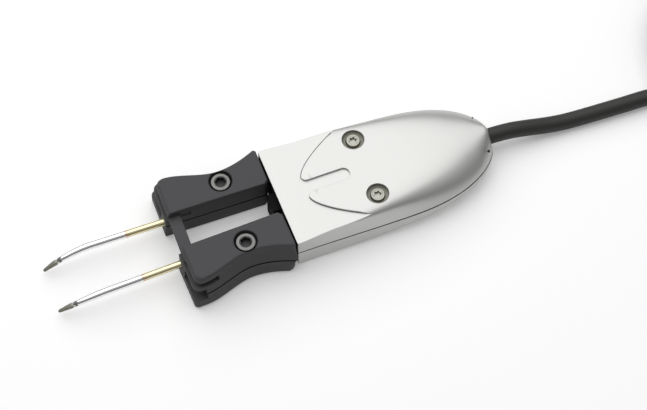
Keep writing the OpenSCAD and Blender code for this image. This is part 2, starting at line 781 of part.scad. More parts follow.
// Hook-and-loop strap around the coil
module coil_tie() {
    inner = coil_in_r - cord_d/2 - tie_slack;
    outer = coil_out_r + cord_d/2;
    color(black) translate([coil_x, coil_y, 0]) rotate(tie_turn) translate([-tie_w/2, 0, 0]) mirror([0, 1, 0])
        difference() {
            translate([0, inner - tie_t, 0]) cube([tie_w, outer - inner + 2*tie_t, coil_top + tie_t]);
            translate([-past, inner, coil_lift]) cube([tie_w + 2*past, outer - inner, 2*cord_d]);
        }
}

module at_plug(along) { translate([plug_x - along, plug_y, plug_z]) rotate([0, -90, 0]) children(); }

// Tapered strain relief behind the plug
module plug_boot() {
    color(rubber) at_plug(0) rotate_extrude()
        polygon([
            [0, 0], [cord_d/2 + boot_wall, 0], [boot_d/2, boot_len - boot_end], [boot_d/2, boot_len],
            [0, boot_len]]);
}

// Plug's metal shell: a body, a collar behind the ring and a hollow nose
module plug_shell() {
    ring_start = boot_len + shell_len - ring_len;
    nose_floor = boot_len + shell_len + plug_nose_len - plug_nose_deep;
    color(steel) difference() {
        union() {
            at_plug(boot_len) cylinder(d = plug_shell_d, h = shell_len);
            at_plug(ring_start - collar_t - ring_wall_gap) cylinder(d = collar_d, h = collar_t);
            at_plug(boot_len + shell_len) cylinder(d = plug_nose_d, h = plug_nose_len);
        }
        at_plug(nose_floor) cylinder(d = plug_nose_d - 2*plug_nose_wall, h = far_past);
    }
}

// Coupling ring that turns on the shell, with grip grooves around it
module plug_ring() {
    ring_start = boot_len + shell_len - ring_len;
    color(steel) at_plug(ring_start) difference() {
        cylinder(d = plug_ring_d, h = ring_len);
        translate([0, 0, -past]) cylinder(d = plug_shell_d + 2*run_fit, h = ring_len + 2*past);
        for (k = [0:ring_grooves - 1]) rotate(360*(k + 0.5)/ring_grooves)
            translate([plug_ring_d/2 + ring_groove_out, 0, ring_land])
                cylinder(d = ring_groove_d, h = ring_len - 2*ring_land, $fn = 24);
    }
}

module plug_pins() {
    nose_floor = boot_len + shell_len + plug_nose_len - plug_nose_deep;
    color(brass) at_plug(nose_floor) for (k = [0:pin_count - 1]) rotate(180*k/(pin_count - 1))
        translate([pin_circle/2, 0, 0]) cylinder(d = pin_d, h = pin_len);
}

upper_shell();
lower_shell();
front_bezel();
case_screws();
case_inserts();
pivot_sleeves();
cable_grommet();
cable_end();
cable_clamp();
clamp_screws();
tag_board();
solder_tags();
inner_leads();
lever(1);  // near_lever
grip_upper(1);  // near_grip_upper
grip_lower(1);  // near_grip_lower
grip_screw(1);  // near_grip_screw
grip_nut(1);  // near_grip_nut
tip_socket(1);  // near_tip_socket
tip_contact(1);  // near_tip_contact
tip_barrel(1);  // near_tip_barrel
tip_shaft(1);  // near_tip_shaft
tip_bit(1);  // near_tip_bit
return_spring(1);  // near_spring
lever(-1);  // far_lever
grip_upper(-1);  // far_grip_upper
grip_lower(-1);  // far_grip_lower
grip_screw(-1);  // far_grip_screw
grip_nut(-1);  // far_grip_nut
tip_socket(-1);  // far_tip_socket
tip_contact(-1);  // far_tip_contact
tip_barrel(-1);  // far_tip_barrel
tip_shaft(-1);  // far_tip_shaft
tip_bit(-1);  // far_tip_bit
return_spring(-1);  // far_spring
guide_bar();
cord_lead();
cord_coil();
coil_tie();
cord_tail();
plug_boot();
plug_shell();
plug_ring();
plug_pins();
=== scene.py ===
"""Looks of the soldering tweezers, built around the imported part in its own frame.

Lengths in the classes are millimetres in the part's frame: +X towards the tips, +Y towards the near arm and
+Z up. They become metres when a mesh is made. An arm's pieces are drawn in the arm's own frame, where the
arms lie parallel, and then turned open about their pivot; the far arm is the mirror image of the near one.
"""

import json
import logging
import math
from collections.abc import Sequence
from dataclasses import dataclass
from enum import Enum
from typing import Any

import bpy
import numpy as np
from mathutils import Matrix, Vector


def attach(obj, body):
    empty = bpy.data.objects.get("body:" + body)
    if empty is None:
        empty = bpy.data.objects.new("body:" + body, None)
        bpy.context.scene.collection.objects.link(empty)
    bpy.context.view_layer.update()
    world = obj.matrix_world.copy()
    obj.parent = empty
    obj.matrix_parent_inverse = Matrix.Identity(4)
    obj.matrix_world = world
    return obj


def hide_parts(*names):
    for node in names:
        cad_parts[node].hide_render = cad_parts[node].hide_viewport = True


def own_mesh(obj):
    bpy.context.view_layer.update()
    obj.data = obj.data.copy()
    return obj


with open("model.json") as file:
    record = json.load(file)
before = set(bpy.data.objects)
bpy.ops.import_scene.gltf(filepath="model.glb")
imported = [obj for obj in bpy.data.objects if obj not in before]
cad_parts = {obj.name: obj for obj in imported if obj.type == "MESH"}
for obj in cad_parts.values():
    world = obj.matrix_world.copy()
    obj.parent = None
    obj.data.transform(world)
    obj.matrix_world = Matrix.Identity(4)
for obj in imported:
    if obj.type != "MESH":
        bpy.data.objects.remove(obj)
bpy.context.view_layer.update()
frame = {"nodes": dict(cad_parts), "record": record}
LOG = logging.getLogger("tweezers")
MM = 0.001
PHOTO_SIZE = (647, 410)
# Turns a piece that stands along Z so that it lies along X
ALONG_X = Matrix.Rotation(math.pi/2, 4, "Y")
# Numbers of the Mix node's sockets: inputs and output for colours, inputs for plain values
MIX_A, MIX_B, MIX_OUT = 6, 7, 2
VALUE_A, VALUE_B = 2, 3
# Shares of a parting groove's half height: its mating face, its straight floor and its slope's end
MATING_SHARE, FLOOR_SHARE, SLOPE_SHARE = 0.1, 0.6, 0.9
# Settings that all finishes share
SLOW_DETAIL = 3.0
FINE_DETAIL = 4.0
LEAST_ROUGHNESS = 0.02
BUMP_STRENGTH = 0.6


class Side(Enum):
    """Which arm a piece belongs to: its name's start and its sign along Y."""

    NEAR = 1
    FAR = -1

    @property
    def word(self) -> str:
        """Start of the names of this arm's nodes and pieces.

        Returns:
            The word "near" or "far".
        """
        return self.name.lower()


@dataclass(frozen=True)
class Plan:
    """Sizes that several sub-assemblies share, as in the CAD source."""

    case_len: float = 75.0
    tip_reach: float = 79.0
    seam_z: float = 7.2
    seam_bevel: float = 0.25
    seam_deep: float = 0.7
    cable_z: float = 6.2
    case_h: float = 14.6
    pivot_back: float = 31.0
    pivot_out: float = 11.0
    arm_open: float = 1.2
    cord_d: float = 5.6

    @property
    def front_x(self) -> float:
        """Place of the case's front face along X.

        Returns:
            The place in millimetres.
        """
        return (self.case_len - self.tip_reach)/2

    def arm_matrix(self, side: Side) -> Matrix:
        """Puts a piece of an arm in place: opens it about the pivot and mirrors it for the far arm.

        Args:
            side: The arm.

        Returns:
            The transform in metres.
        """
        pivot = Vector((-self.pivot_back*MM, self.pivot_out*MM, 0.0))
        turn = Matrix.Rotation(math.radians(self.arm_open), 4, "Z")
        opened = Matrix.Translation(pivot) @ turn @ Matrix.Translation(-pivot)
        mirror = Matrix.Diagonal((1.0, float(side.value), 1.0, 1.0))
        return shift(self.front_x, 0.0, 0.0) @ mirror @ opened


PLAN = Plan()


def ease(u: np.ndarray) -> np.ndarray:
    """Eases from 0 to 1 with level ends.

    Args:
        u: Values, clipped to 0 and 1.

    Returns:
        The eased values.
    """
    c = np.clip(u, 0.0, 1.0)
    return c*c*(3.0 - 2.0*c)


def shift(x: float, y: float, z: float) -> Matrix:
    """Makes a move along the axes.

    Args:
        x: Millimetres along X.
        y: Millimetres along Y.
        z: Millimetres along Z.

    Returns:
        The transform in metres.
    """
    return Matrix.Translation((x*MM, y*MM, z*MM))


# Meshes
def add_object(name: str, data: bpy.types.ID) -> bpy.types.Object:
    """Adds an object to the scene.

    Args:
        name: Its name.
        data: Its mesh, camera or light.

    Returns:
        The new object.
    """
    made = bpy.data.objects.new(name, data)
    bpy.context.scene.collection.objects.link(made)
    return made


def make_object(name: str, points: np.ndarray, faces: Sequence[Sequence[int]]) -> bpy.types.Object:
    """Makes an object at the origin from points in millimetres.

    Args:
        name: Name of the object and of its mesh.
        points: Rows of x, y and z in millimetres.
        faces: Point numbers of each face, counter-clockwise from outside.

    Returns:
        The new object.
    """
    mesh = bpy.data.meshes.new(name)
    mesh.from_pydata((np.asarray(points, float)*MM).tolist(), [], [list(f) for f in faces])
    mesh.validate()
    return add_object(name, mesh)


def ring_solid(name: str, rings: np.ndarray) -> bpy.types.Object:
    """Makes a closed solid through rings of equal numbers of points.

    Args:
        name: Name of the object.
        rings: Rings by points by 3; each ring is right-handed about the way the rings are stacked.

    Returns:
        The new object.
    """
    count, n = rings.shape[:2]
    index = np.arange(count*n).reshape(count, n)
    nxt = np.roll(index, -1, axis=1)
    sides = np.stack([index[:-1], nxt[:-1], nxt[1:], index[1:]], axis=-1).reshape(-1, 4)
    faces = [*sides.tolist(), index[0, ::-1].tolist(), index[-1].tolist()]
    return make_object(name, rings.reshape(-1, 3), faces)


def turned(name: str, profile: Sequence[tuple[float, float]], segments: int = 64) -> bpy.types.Object:
    """Turns a profile of radius and height about Z into a closed solid.

    Args:
        name: Name of the object.
        profile: Pairs of radius and height, from the lower end to the upper one along the surface.
        segments: Points around each ring.

    Returns:
        The new object.
    """
    line = np.array(profile, float)
    angle = np.linspace(0.0, 2*np.pi, segments, endpoint=False)
    rings = np.empty((len(line), segments, 3))
    rings[..., 0] = line[:, :1]*np.cos(angle)
    rings[..., 1] = line[:, :1]*np.sin(angle)
    rings[..., 2] = line[:, 1:]
    return ring_solid(name, rings)


def at_height(outline: np.ndarray, z: float) -> np.ndarray:
    """Lifts a plan outline to a height.

    Args:
        outline: Plan points.
        z: The height.

    Returns:
        Rows of x, y and z.
    """
    return np.column_stack([outline, np.full(len(outline), z)])


def prism(name: str, outline: np.ndarray, levels: Sequence[tuple[float, float]]) -> bpy.types.Object:
    """Stacks an outline at several heights, each time moved out along its own normals.

    Args:
        name: Name of the object.
        outline: Plan points, counter-clockwise.
        levels: Pairs of height and stand-out.

    Returns:
        The new object.
    """
    along = np.roll(outline, -1, axis=0) - np.roll(outline, 1, axis=0)
    along /= np.linalg.norm(along, axis=1, keepdims=True)
    normal = np.stack([along[:, 1], -along[:, 0]], axis=1)
    return ring_solid(name, np.array([at_height(outline + out*normal, z) for z, out in levels]))


def block(name: str, low: Sequence[float], high: Sequence[float]) -> bpy.types.Object:
    """Makes a cutter with flat faces between two corners.

    Args:
        name: Name of the object.
        low: Lowest corner.
        high: Highest corner.

    Returns:
        The new object.
    """
    (x0, y0, z0), (x1, y1, z1) = low, high
    outline = np.array([[x0, y0], [x1, y0], [x1, y1], [x0, y1]], float)
    return ring_solid(name, np.array([at_height(outline, z) for z in (z0, z1)]))


def swept(name: str, path: np.ndarray, half_w: np.ndarray, half_h: np.ndarray, sides: int = 24,
          power: float = 2.0) -> bpy.types.Object:
    """Sweeps a rounded section along a path: at each place it lies across the path's own direction.

    Args:
        name: Name of the object.
        path: Rows of x, y and z.
        half_w: Half widths across the path, level with the table.
        half_h: Half heights.
        sides: Points around the section.
        power: Exponent of the section; 2 is an ellipse and higher values are squarer.

    Returns:
        The new object.
    """
    way = np.gradient(path, axis=0)
    way /= np.linalg.norm(way, axis=1, keepdims=True)
    across = np.cross(way, [0.0, 0.0, 1.0])
    across /= np.linalg.norm(across, axis=1, keepdims=True)
    up = np.cross(across, way)
    angle = np.linspace(0.0, 2*np.pi, sides, endpoint=False)
    shape_c = np.sign(np.cos(angle))*np.abs(np.cos(angle))**(2.0/power)
    shape_s = np.sign(np.sin(angle))*np.abs(np.sin(angle))**(2.0/power)
    rings = (path[:, None]
             - half_w[:, None, None]*shape_c[None, :, None]*across[:, None]
             + half_h[:, None, None]*shape_s[None, :, None]*up[:, None])
    return ring_solid(name, rings)


def smooth_path(points: np.ndarray, per_span: int) -> np.ndarray:
    """Runs a smooth line through points (a cubic through each span, with the slopes of its neighbours).

    Args:
        points: Rows of x, y and z.
        per_span: New points in each span.

    Returns:
        The denser rows.
    """
    ext = np.vstack([2*points[0] - points[1], points, 2*points[-1] - points[-2]])
    u = np.linspace(0.0, 1.0, per_span, endpoint=False)[None, :, None]
    p0, p1, p2, p3 = (ext[k:len(ext) - 3 + k][:, None] for k in range(4))
    spans = 0.5*(2*p1 + (p2 - p0)*u + (2*p0 - 5*p1 + 4*p2 - p3)*u**2 + (3*p1 - p0 - 3*p2 + p3)*u**3)
    return np.vstack([spans.reshape(-1, 3), points[-1:]])


def cut(target: bpy.types.Object, cutters: Sequence[bpy.types.Object]) -> None:
    """Takes cutters out of a solid and removes them.

    Args:
        target: The solid.
        cutters: Closed solids to take out of it.
    """
    for cutter in cutters:
        step = target.modifiers.new("cut", "BOOLEAN")
        step.operation = "DIFFERENCE"
        step.solver = "EXACT"
        step.object = cutter
    bake(target)
    for cutter in cutters:
        spare = cutter.data
        bpy.data.objects.remove(cutter)
        bpy.data.meshes.remove(spare)


def bake(target: bpy.types.Object) -> None:
    """Turns an object's modifiers into its own mesh.

    Args:
        target: The object.
    """
    bpy.context.view_layer.update()
    graph = bpy.context.evaluated_depsgraph_get()
    old = target.data
    target.data = bpy.data.meshes.new_from_object(target.evaluated_get(graph))
    target.modifiers.clear()
    target.data.name = target.name
    bpy.data.meshes.remove(old)


def bevel(target: bpy.types.Object, width: float, segments: int = 3, angle: float = 40.0) -> None:
    """Rounds the sharp edges of a piece.

    Args:
        target: The piece.
        width: Width of the rounding in millimetres.
        segments: Faces across the rounding.
        angle: Edges sharper than this are rounded, in degrees.
    """
    step = target.modifiers.new("bevel", "BEVEL")
    step.width = width*MM
    step.segments = segments
    step.limit_method = "ANGLE"
    step.angle_limit = math.radians(angle)
    step.use_clamp_overlap = True
    bake(target)


def shade(target: bpy.types.Object, angle: float = 32.0) -> None:
    """Shades a piece smooth, with sharp edges where faces meet at more than an angle.

    Args:
        target: The piece.
        angle: The angle in degrees.
    """
    target.data.polygons.foreach_set("use_smooth", np.ones(len(target.data.polygons), bool))
    target.data.set_sharp_from_angle(angle=math.radians(angle))
    step = target.modifiers.new("normals", "WEIGHTED_NORMAL")
    step.keep_sharp = True
    step.weight = 80
    bake(target)


def place(target: bpy.types.Object, matrix: Matrix) -> None:
    """Moves a piece's points, so that its object stays at the origin.

    Args:
        target: The piece.
        matrix: The transform in metres; a mirror turns the faces round again.
    """
    target.data.transform(matrix)
    if matrix.determinant() < 0:
        target.data.flip_normals()


def joined(name: str, parts: Sequence[bpy.types.Object]) -> bpy.types.Object:
    """Joins objects into one piece.

    Args:
        name: Name of the piece.
        parts: The objects.

    Returns:
        The piece.
    """
    with bpy.context.temp_override(active_object=parts[0], selected_editable_objects=list(parts)):
        bpy.ops.object.join()
    parts[0].name = name
    parts[0].data.name = name
    return parts[0]


# Finishes
def linear(hex_colour: str) -> tuple[float, float, float, float]:
    """Turns a screen colour into the linear colour that shaders use.

    Args:
        hex_colour: Six hexadecimal digits after a hash sign.

    Returns:
        Red, green, blue and alpha.
    """
    screen = np.array([int(hex_colour[i:i + 2], 16) for i in (1, 3, 5)])/255.0
    light = np.where(screen <= 0.04045, screen/12.92, ((screen + 0.055)/1.055)**2.4)
    return (*light.tolist(), 1.0)


def add_node(tree: bpy.types.NodeTree, kind: str, settings: dict[str, Any] | None = None,
             links: dict[str, bpy.types.NodeSocket] | None = None) -> bpy.types.Node:
    """Adds a shader node with its settings and links.

    Args:
        tree: Node tree.
        kind: Blender's name of the node, without "ShaderNode".
        settings: Values of inputs by their names, or else of the node's own properties.
        links: Output sockets to join to inputs, by the inputs' names.

    Returns:
        The node.
    """
    made = tree.nodes.new("ShaderNode" + kind)
    for key, value in (settings or {}).items():
        if key in made.inputs:
            made.inputs[key].default_value = value
        else:
            setattr(made, key, value)
    for key, socket in (links or {}).items():
        tree.links.new(socket, made.inputs[int(key) if key.isdigit() else key])
    return made


def empty_tree(owner: bpy.types.Material | bpy.types.World) -> bpy.types.NodeTree:
    """Gives a material or a world an empty node tree.

    Args:
        owner: The material or the world.

    Returns:
        The tree.
    """
    owner.use_nodes = True
    owner.node_tree.nodes.clear()
    return owner.node_tree


def smooth_range(tree: bpy.types.NodeTree, value: bpy.types.NodeSocket, start: float, end: float,
                 low: float = 0.0, high: float = 1.0) -> bpy.types.NodeSocket:
    """Maps a value's range smoothly to another one.

    Args:
        tree: Node tree.
        value: The value's socket.
        start: Where the value's range starts.
        end: Where it ends.
        low: What the start becomes.
        high: What the end becomes.

    Returns:
        The mapped value's socket.
    """
    spans = {"From Min": start, "From Max": end, "To Min": low, "To Max": high}
    mapped = add_node(tree, "MapRange", {**spans, "interpolation_type": "SMOOTHSTEP"}, {"Value": value})
    return mapped.outputs["Result"]


@dataclass(frozen=True)
class Finish:
    """A surface: its colour, gloss, slow changes of tone and fine relief, with sizes in millimetres.

    The tone comes from a slow noise, the relief and the gloss's unevenness from a fine one. Stretch scales
    the fine noise's places: below 1 draws it out along that axis, as drawing marks are, and above 1 packs
    it closer, as turning marks are.
    """

    name: str
    colour: str
    roughness: float
    metallic: float = 0.0
    tone: float = 0.06
    tone_mm: float = 9.0
    grain_mm: float = 0.25
    relief_mm: float = 0.004
    uneven: float = 0.08
    stretch: tuple[float, float, float] = (1.0, 1.0, 1.0)
    specular: float = 0.5

    def material(self) -> bpy.types.Material:
        """Makes the finish's material once.

        Returns:
            The material.
        """
        known = bpy.data.materials.get(self.name)
        if known is not None:
            return known
        made = bpy.data.materials.new(self.name)
        tree = empty_tree(made)
        place_of = add_node(tree, "TexCoord").outputs["Object"]
        stretched = add_node(tree, "Mapping", {"Scale": self.stretch}, {"Vector": place_of})
        slow = self.noise(tree, self.tone_mm, SLOW_DETAIL, place_of)
        fine = self.noise(tree, self.grain_mm, FINE_DETAIL, stretched.outputs["Vector"])
        base = linear(self.colour)[:3]
        tone = add_node(tree, "Mix", {"data_type": "RGBA"}, {"Factor": slow})
        tone.inputs[MIX_A].default_value = (*(c*(1 - self.tone) for c in base), 1.0)
        tone.inputs[MIX_B].default_value = (*(c*(1 + self.tone) for c in base), 1.0)
        gloss = add_node(tree, "MapRange", {"To Min": max(LEAST_ROUGHNESS, self.roughness - self.uneven),
                                            "To Max": self.roughness + self.uneven}, {"Value": fine})
        relief = self.relief_height(tree, place_of, fine)
        bump = add_node(tree, "Bump", {"Strength": BUMP_STRENGTH, "Distance": self.relief_mm*MM},
                        {"Height": relief})
        shader = add_node(tree, "BsdfPrincipled",
                          {"Metallic": self.metallic, "Specular IOR Level": self.specular},
                          {"Base Color": self.colour_out(tree, place_of, tone.outputs[MIX_OUT]),
                           "Roughness": gloss.outputs["Result"], "Normal": bump.outputs["Normal"]})
        add_node(tree, "OutputMaterial", links={"Surface": shader.outputs["BSDF"]})
        return made

    @staticmethod
    def noise(tree: bpy.types.NodeTree, size_mm: float, detail: float,
              place_of: bpy.types.NodeSocket) -> bpy.types.NodeSocket:
        """Adds a noise of a size.

        Args:
            tree: Node tree.
            size_mm: Size of its features.
            detail: Layers of finer features.
            place_of: Coordinates.

        Returns:
            The noise's socket.
        """
        settings = {"Scale": 1.0/(size_mm*MM), "Detail": detail}
        return add_node(tree, "TexNoise", settings, {"Vector": place_of}).outputs["Fac"]

    def relief_height(self, tree: bpy.types.NodeTree, place_of: bpy.types.NodeSocket,
                      grain: bpy.types.NodeSocket) -> bpy.types.NodeSocket:
        """Gives the height of the fine relief: here the grain itself.

        Args:
            tree: Node tree.
            place_of: Object coordinates.
            grain: The fine noise.

        Returns:
            The height's socket.
        """
        return grain

    def colour_out(self, tree: bpy.types.NodeTree, place_of: bpy.types.NodeSocket,
                   tone: bpy.types.NodeSocket) -> bpy.types.NodeSocket:
        """Gives the surface's colour: here the slow tone itself.

        Args:
            tree: Node tree.
            place_of: Object coordinates.
            tone: The toned colour.

        Returns:
            The colour's socket.
        """
        return tone


@dataclass(frozen=True)
class HeatTint(Finish):
    """A plated tube whose colour turns coppery towards its hot end, between two places along X."""

    tint: str = "#d6b8a4"
    start_mm: float = 46.2
    end_mm: float = 48.5

    def colour_out(self, tree: bpy.types.NodeTree, place_of: bpy.types.NodeSocket,
                   tone: bpy.types.NodeSocket) -> bpy.types.NodeSocket:
        """Blends the tone into the tint along X.

        Args:
            tree: Node tree.
            place_of: Object coordinates.
            tone: The toned colour.

        Returns:
            The colour's socket.
        """
        axes = add_node(tree, "SeparateXYZ", links={"Vector": place_of})
        share = smooth_range(tree, axes.outputs["X"], self.start_mm*MM, self.end_mm*MM)
        blend = add_node(tree, "Mix", {"data_type": "RGBA"}, {"Factor": share})
        blend.inputs[MIX_B].default_value = linear(self.tint)
        tree.links.new(tone, blend.inputs[MIX_A])
        return blend.outputs[MIX_OUT]


@dataclass(frozen=True)
class Weave(Finish):
    """A woven strap: crossed waves of the thread's size make its relief."""

    thread_mm: float = 0.8
    waves_per_thread: float = 0.3
    wander: float = 0.4

    def relief_height(self, tree: bpy.types.NodeTree, place_of: bpy.types.NodeSocket,
                      grain: bpy.types.NodeSocket) -> bpy.types.NodeSocket:
        """Multiplies a wave along X by one along Y.

        Args:
            tree: Node tree.
            place_of: Object coordinates.
            grain: The fine noise, unused by the weave.

        Returns:
            The height's socket.
        """
        settings = {"Scale": self.waves_per_thread/(self.thread_mm*MM), "Distortion": self.wander}
        waves = [add_node(tree, "TexWave", {"bands_direction": axis, **settings}, {"Vector": place_of})
                 for axis in ("X", "Y")]
        crossed = add_node(tree, "Math", {"operation": "MULTIPLY"},
                           {"0": waves[0].outputs["Fac"], "1": waves[1].outputs["Fac"]})
        return crossed.outputs["Value"]


# Satin silver lacquer, sprayed over the moulded case
SILVER = Finish("silver_lacquer", "#c6c6c4", 0.44, metallic=0.8, tone=0.015, tone_mm=30, grain_mm=0.12,
                relief_mm=0.0015, uneven=0.04)
# Black glass-filled plastic with the mould's fine spark-eroded grain
GRIP = Finish("grip_plastic", "#2a2a2a", 0.62, tone=0.04, tone_mm=12, grain_mm=0.2, relief_mm=0.012,
              specular=0.4)
# Smooth black plastic, moulded in a polished tool and dulled by handling; also painted shade inside the cap
# screws' sockets and on the two pit beads
BLACK_AND_SHADE = Finish("black_plastic_and_painted_shade", "#232324", 0.5, grain_mm=0.3)
# Near-black matt colour, painted shade down in grooves and gaps that light hardly reaches
PAINTED_GAP_SHADE = Finish("painted_gap_shade", "#0d0d0e", 0.8, tone=0.05, grain_mm=0.3, specular=0.15)
# Turned steel of case screws and springs
STEEL = Finish("turned_steel", "#98978f", 0.3, metallic=1.0, tone=0.05, tone_mm=2, grain_mm=0.15,
               relief_mm=0.002, stretch=(1.0, 1.0, 6.0))
# Grey matt colour, painted shade on the walls and floors of the screw recesses
RECESS_SHADE = Finish("painted_recess_shade", "#8d8c80", 0.5, tone_mm=3, grain_mm=0.2)
# Darkened steel of cap screws, also laid on the last part of each shaft as a darker ring
DARK_STEEL = Finish("blackened_steel", "#757573", 0.42, metallic=0.9, tone_mm=2, grain_mm=0.15,
                    relief_mm=0.003)
# Drawn brass of sockets, tags and pins
BRASS = Finish("drawn_brass", "#c39a45", 0.32, metallic=1.0, tone=0.05, tone_mm=3, grain_mm=0.2,
               relief_mm=0.002)
# Gilded barrel of a heated tip, drawn lengthways and browned by heat at its end
GILT = HeatTint("gilded_barrel", "#dbd2ae", 0.2, metallic=1.0, tone=0.05, tone_mm=4, grain_mm=0.12,
                relief_mm=0.0015, stretch=(0.1, 1.0, 1.0))
# Chromium plating, polished lengthways
CHROME = Finish("polished_plating", "#e6e6e6", 0.06, metallic=1.0, tone=0.02, tone_mm=5, grain_mm=0.15,
                relief_mm=0.0005, uneven=0.02, stretch=(0.15, 1.0, 1.0))
# Iron tip wetted with old solder
TINNED = Finish("tinned_iron", "#8f8e83", 0.42, metallic=0.8, tone=0.4, tone_mm=0.5, grain_mm=0.3,
                relief_mm=0.03, uneven=0.15)
# Dark grey cord sheath, extruded, with a dull waxy surface
SHEATH = Finish("cord_sheath", "#2c2c2a", 0.55, tone_mm=14, grain_mm=0.5, relief_mm=0.012, specular=0.45)
# Nickel-plated plug shell, turned
NICKEL = Finish("nickel_plate", "#b9b8b3", 0.3, metallic=1.0, tone=0.04, tone_mm=5, grain_mm=0.15,
                relief_mm=0.002, stretch=(1.0, 6.0, 1.0))
# Glass-fibre laminate with a green lacquer
LAMINATE = Finish("green_laminate", "#3f6b4c", 0.4, tone=0.08, tone_mm=3, grain_mm=0.4)
# Woven hook-and-loop strap
STRAP = Weave("woven_strap", "#1c1c1d", 0.85, tone=0.1, tone_mm=2, grain_mm=0.3, relief_mm=0.15)

SLOT_FINISH = {
    "silver_case": SILVER, "grip_plastic": GRIP, "black_plastic": BLACK_AND_SHADE, "screw_steel": STEEL,
    "brass_contact": BRASS, "tip_gilt": GILT, "tip_chrome": CHROME, "tip_tinned": TINNED,
    "cord_rubber": SHEATH, "board_laminate": LAMINATE, "tie_fabric": STRAP, "plug_metal": NICKEL}


def dress(piece: bpy.types.Object, finish: Finish, body: str, slot: str, *nodes: str) -> bpy.types.Object:
    """Gives a piece its finish and its body, and hides the nodes it stands for.

    Args:
        piece: The piece.
        finish: Its finish.
        body: The body it rides on.
        slot: The record's material slot; not used.
        nodes: Nodes that it stands for.

    Returns:
        The piece.
    """
    piece.data.materials.clear()
    piece.data.materials.append(finish.material())
    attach(piece, body)
    if nodes:
        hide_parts(*nodes)
    LOG.info("%s rides on %s: %d faces", piece.name, body, len(piece.data.polygons))
    return piece


def middles_of(piece: bpy.types.Object) -> np.ndarray:
    """Reads the middles of a piece's faces.

    Args:
        piece: The piece, whose mesh is in the shared frame.

    Returns:
        Rows of x, y and z in millimetres.
    """
    middles = np.empty(3*len(piece.data.polygons))
    piece.data.polygons.foreach_get("center", middles)
    return middles.reshape(-1, 3)/MM


def inlay(piece: bpy.types.Object, finish: Finish, chosen: np.ndarray) -> None:
    """Gives some faces of a dressed piece another finish.

    Args:
        piece: The piece.
        finish: The finish.
        chosen: True for each face that gets it.
    """
    index = np.empty(len(piece.data.polygons), np.int32)
    piece.data.polygons.foreach_get("material_index", index)
    piece.data.materials.append(finish.material())
    index[chosen] = len(piece.data.materials) - 1
    piece.data.polygons.foreach_set("material_index", index)


def paint_groove_shade(piece: bpy.types.Object, lip: float, share: float) -> None:
    """Paints shade into the parting groove of a dressed piece: the faces just above or below the seam turn
    near black.

    Args:
        piece: The piece, whose mesh is in the shared frame.
        lip: Height of the groove's half on this side of the seam.
        share: Share of that height up to which faces are darkened.
    """
    level = np.abs(middles_of(piece)[:, 2] - PLAN.seam_z)
    # Painted shade: the groove's faces get the near-black colour
    inlay(piece, PAINTED_GAP_SHADE, (level < share*lip) & (level > MATING_SHARE*lip))


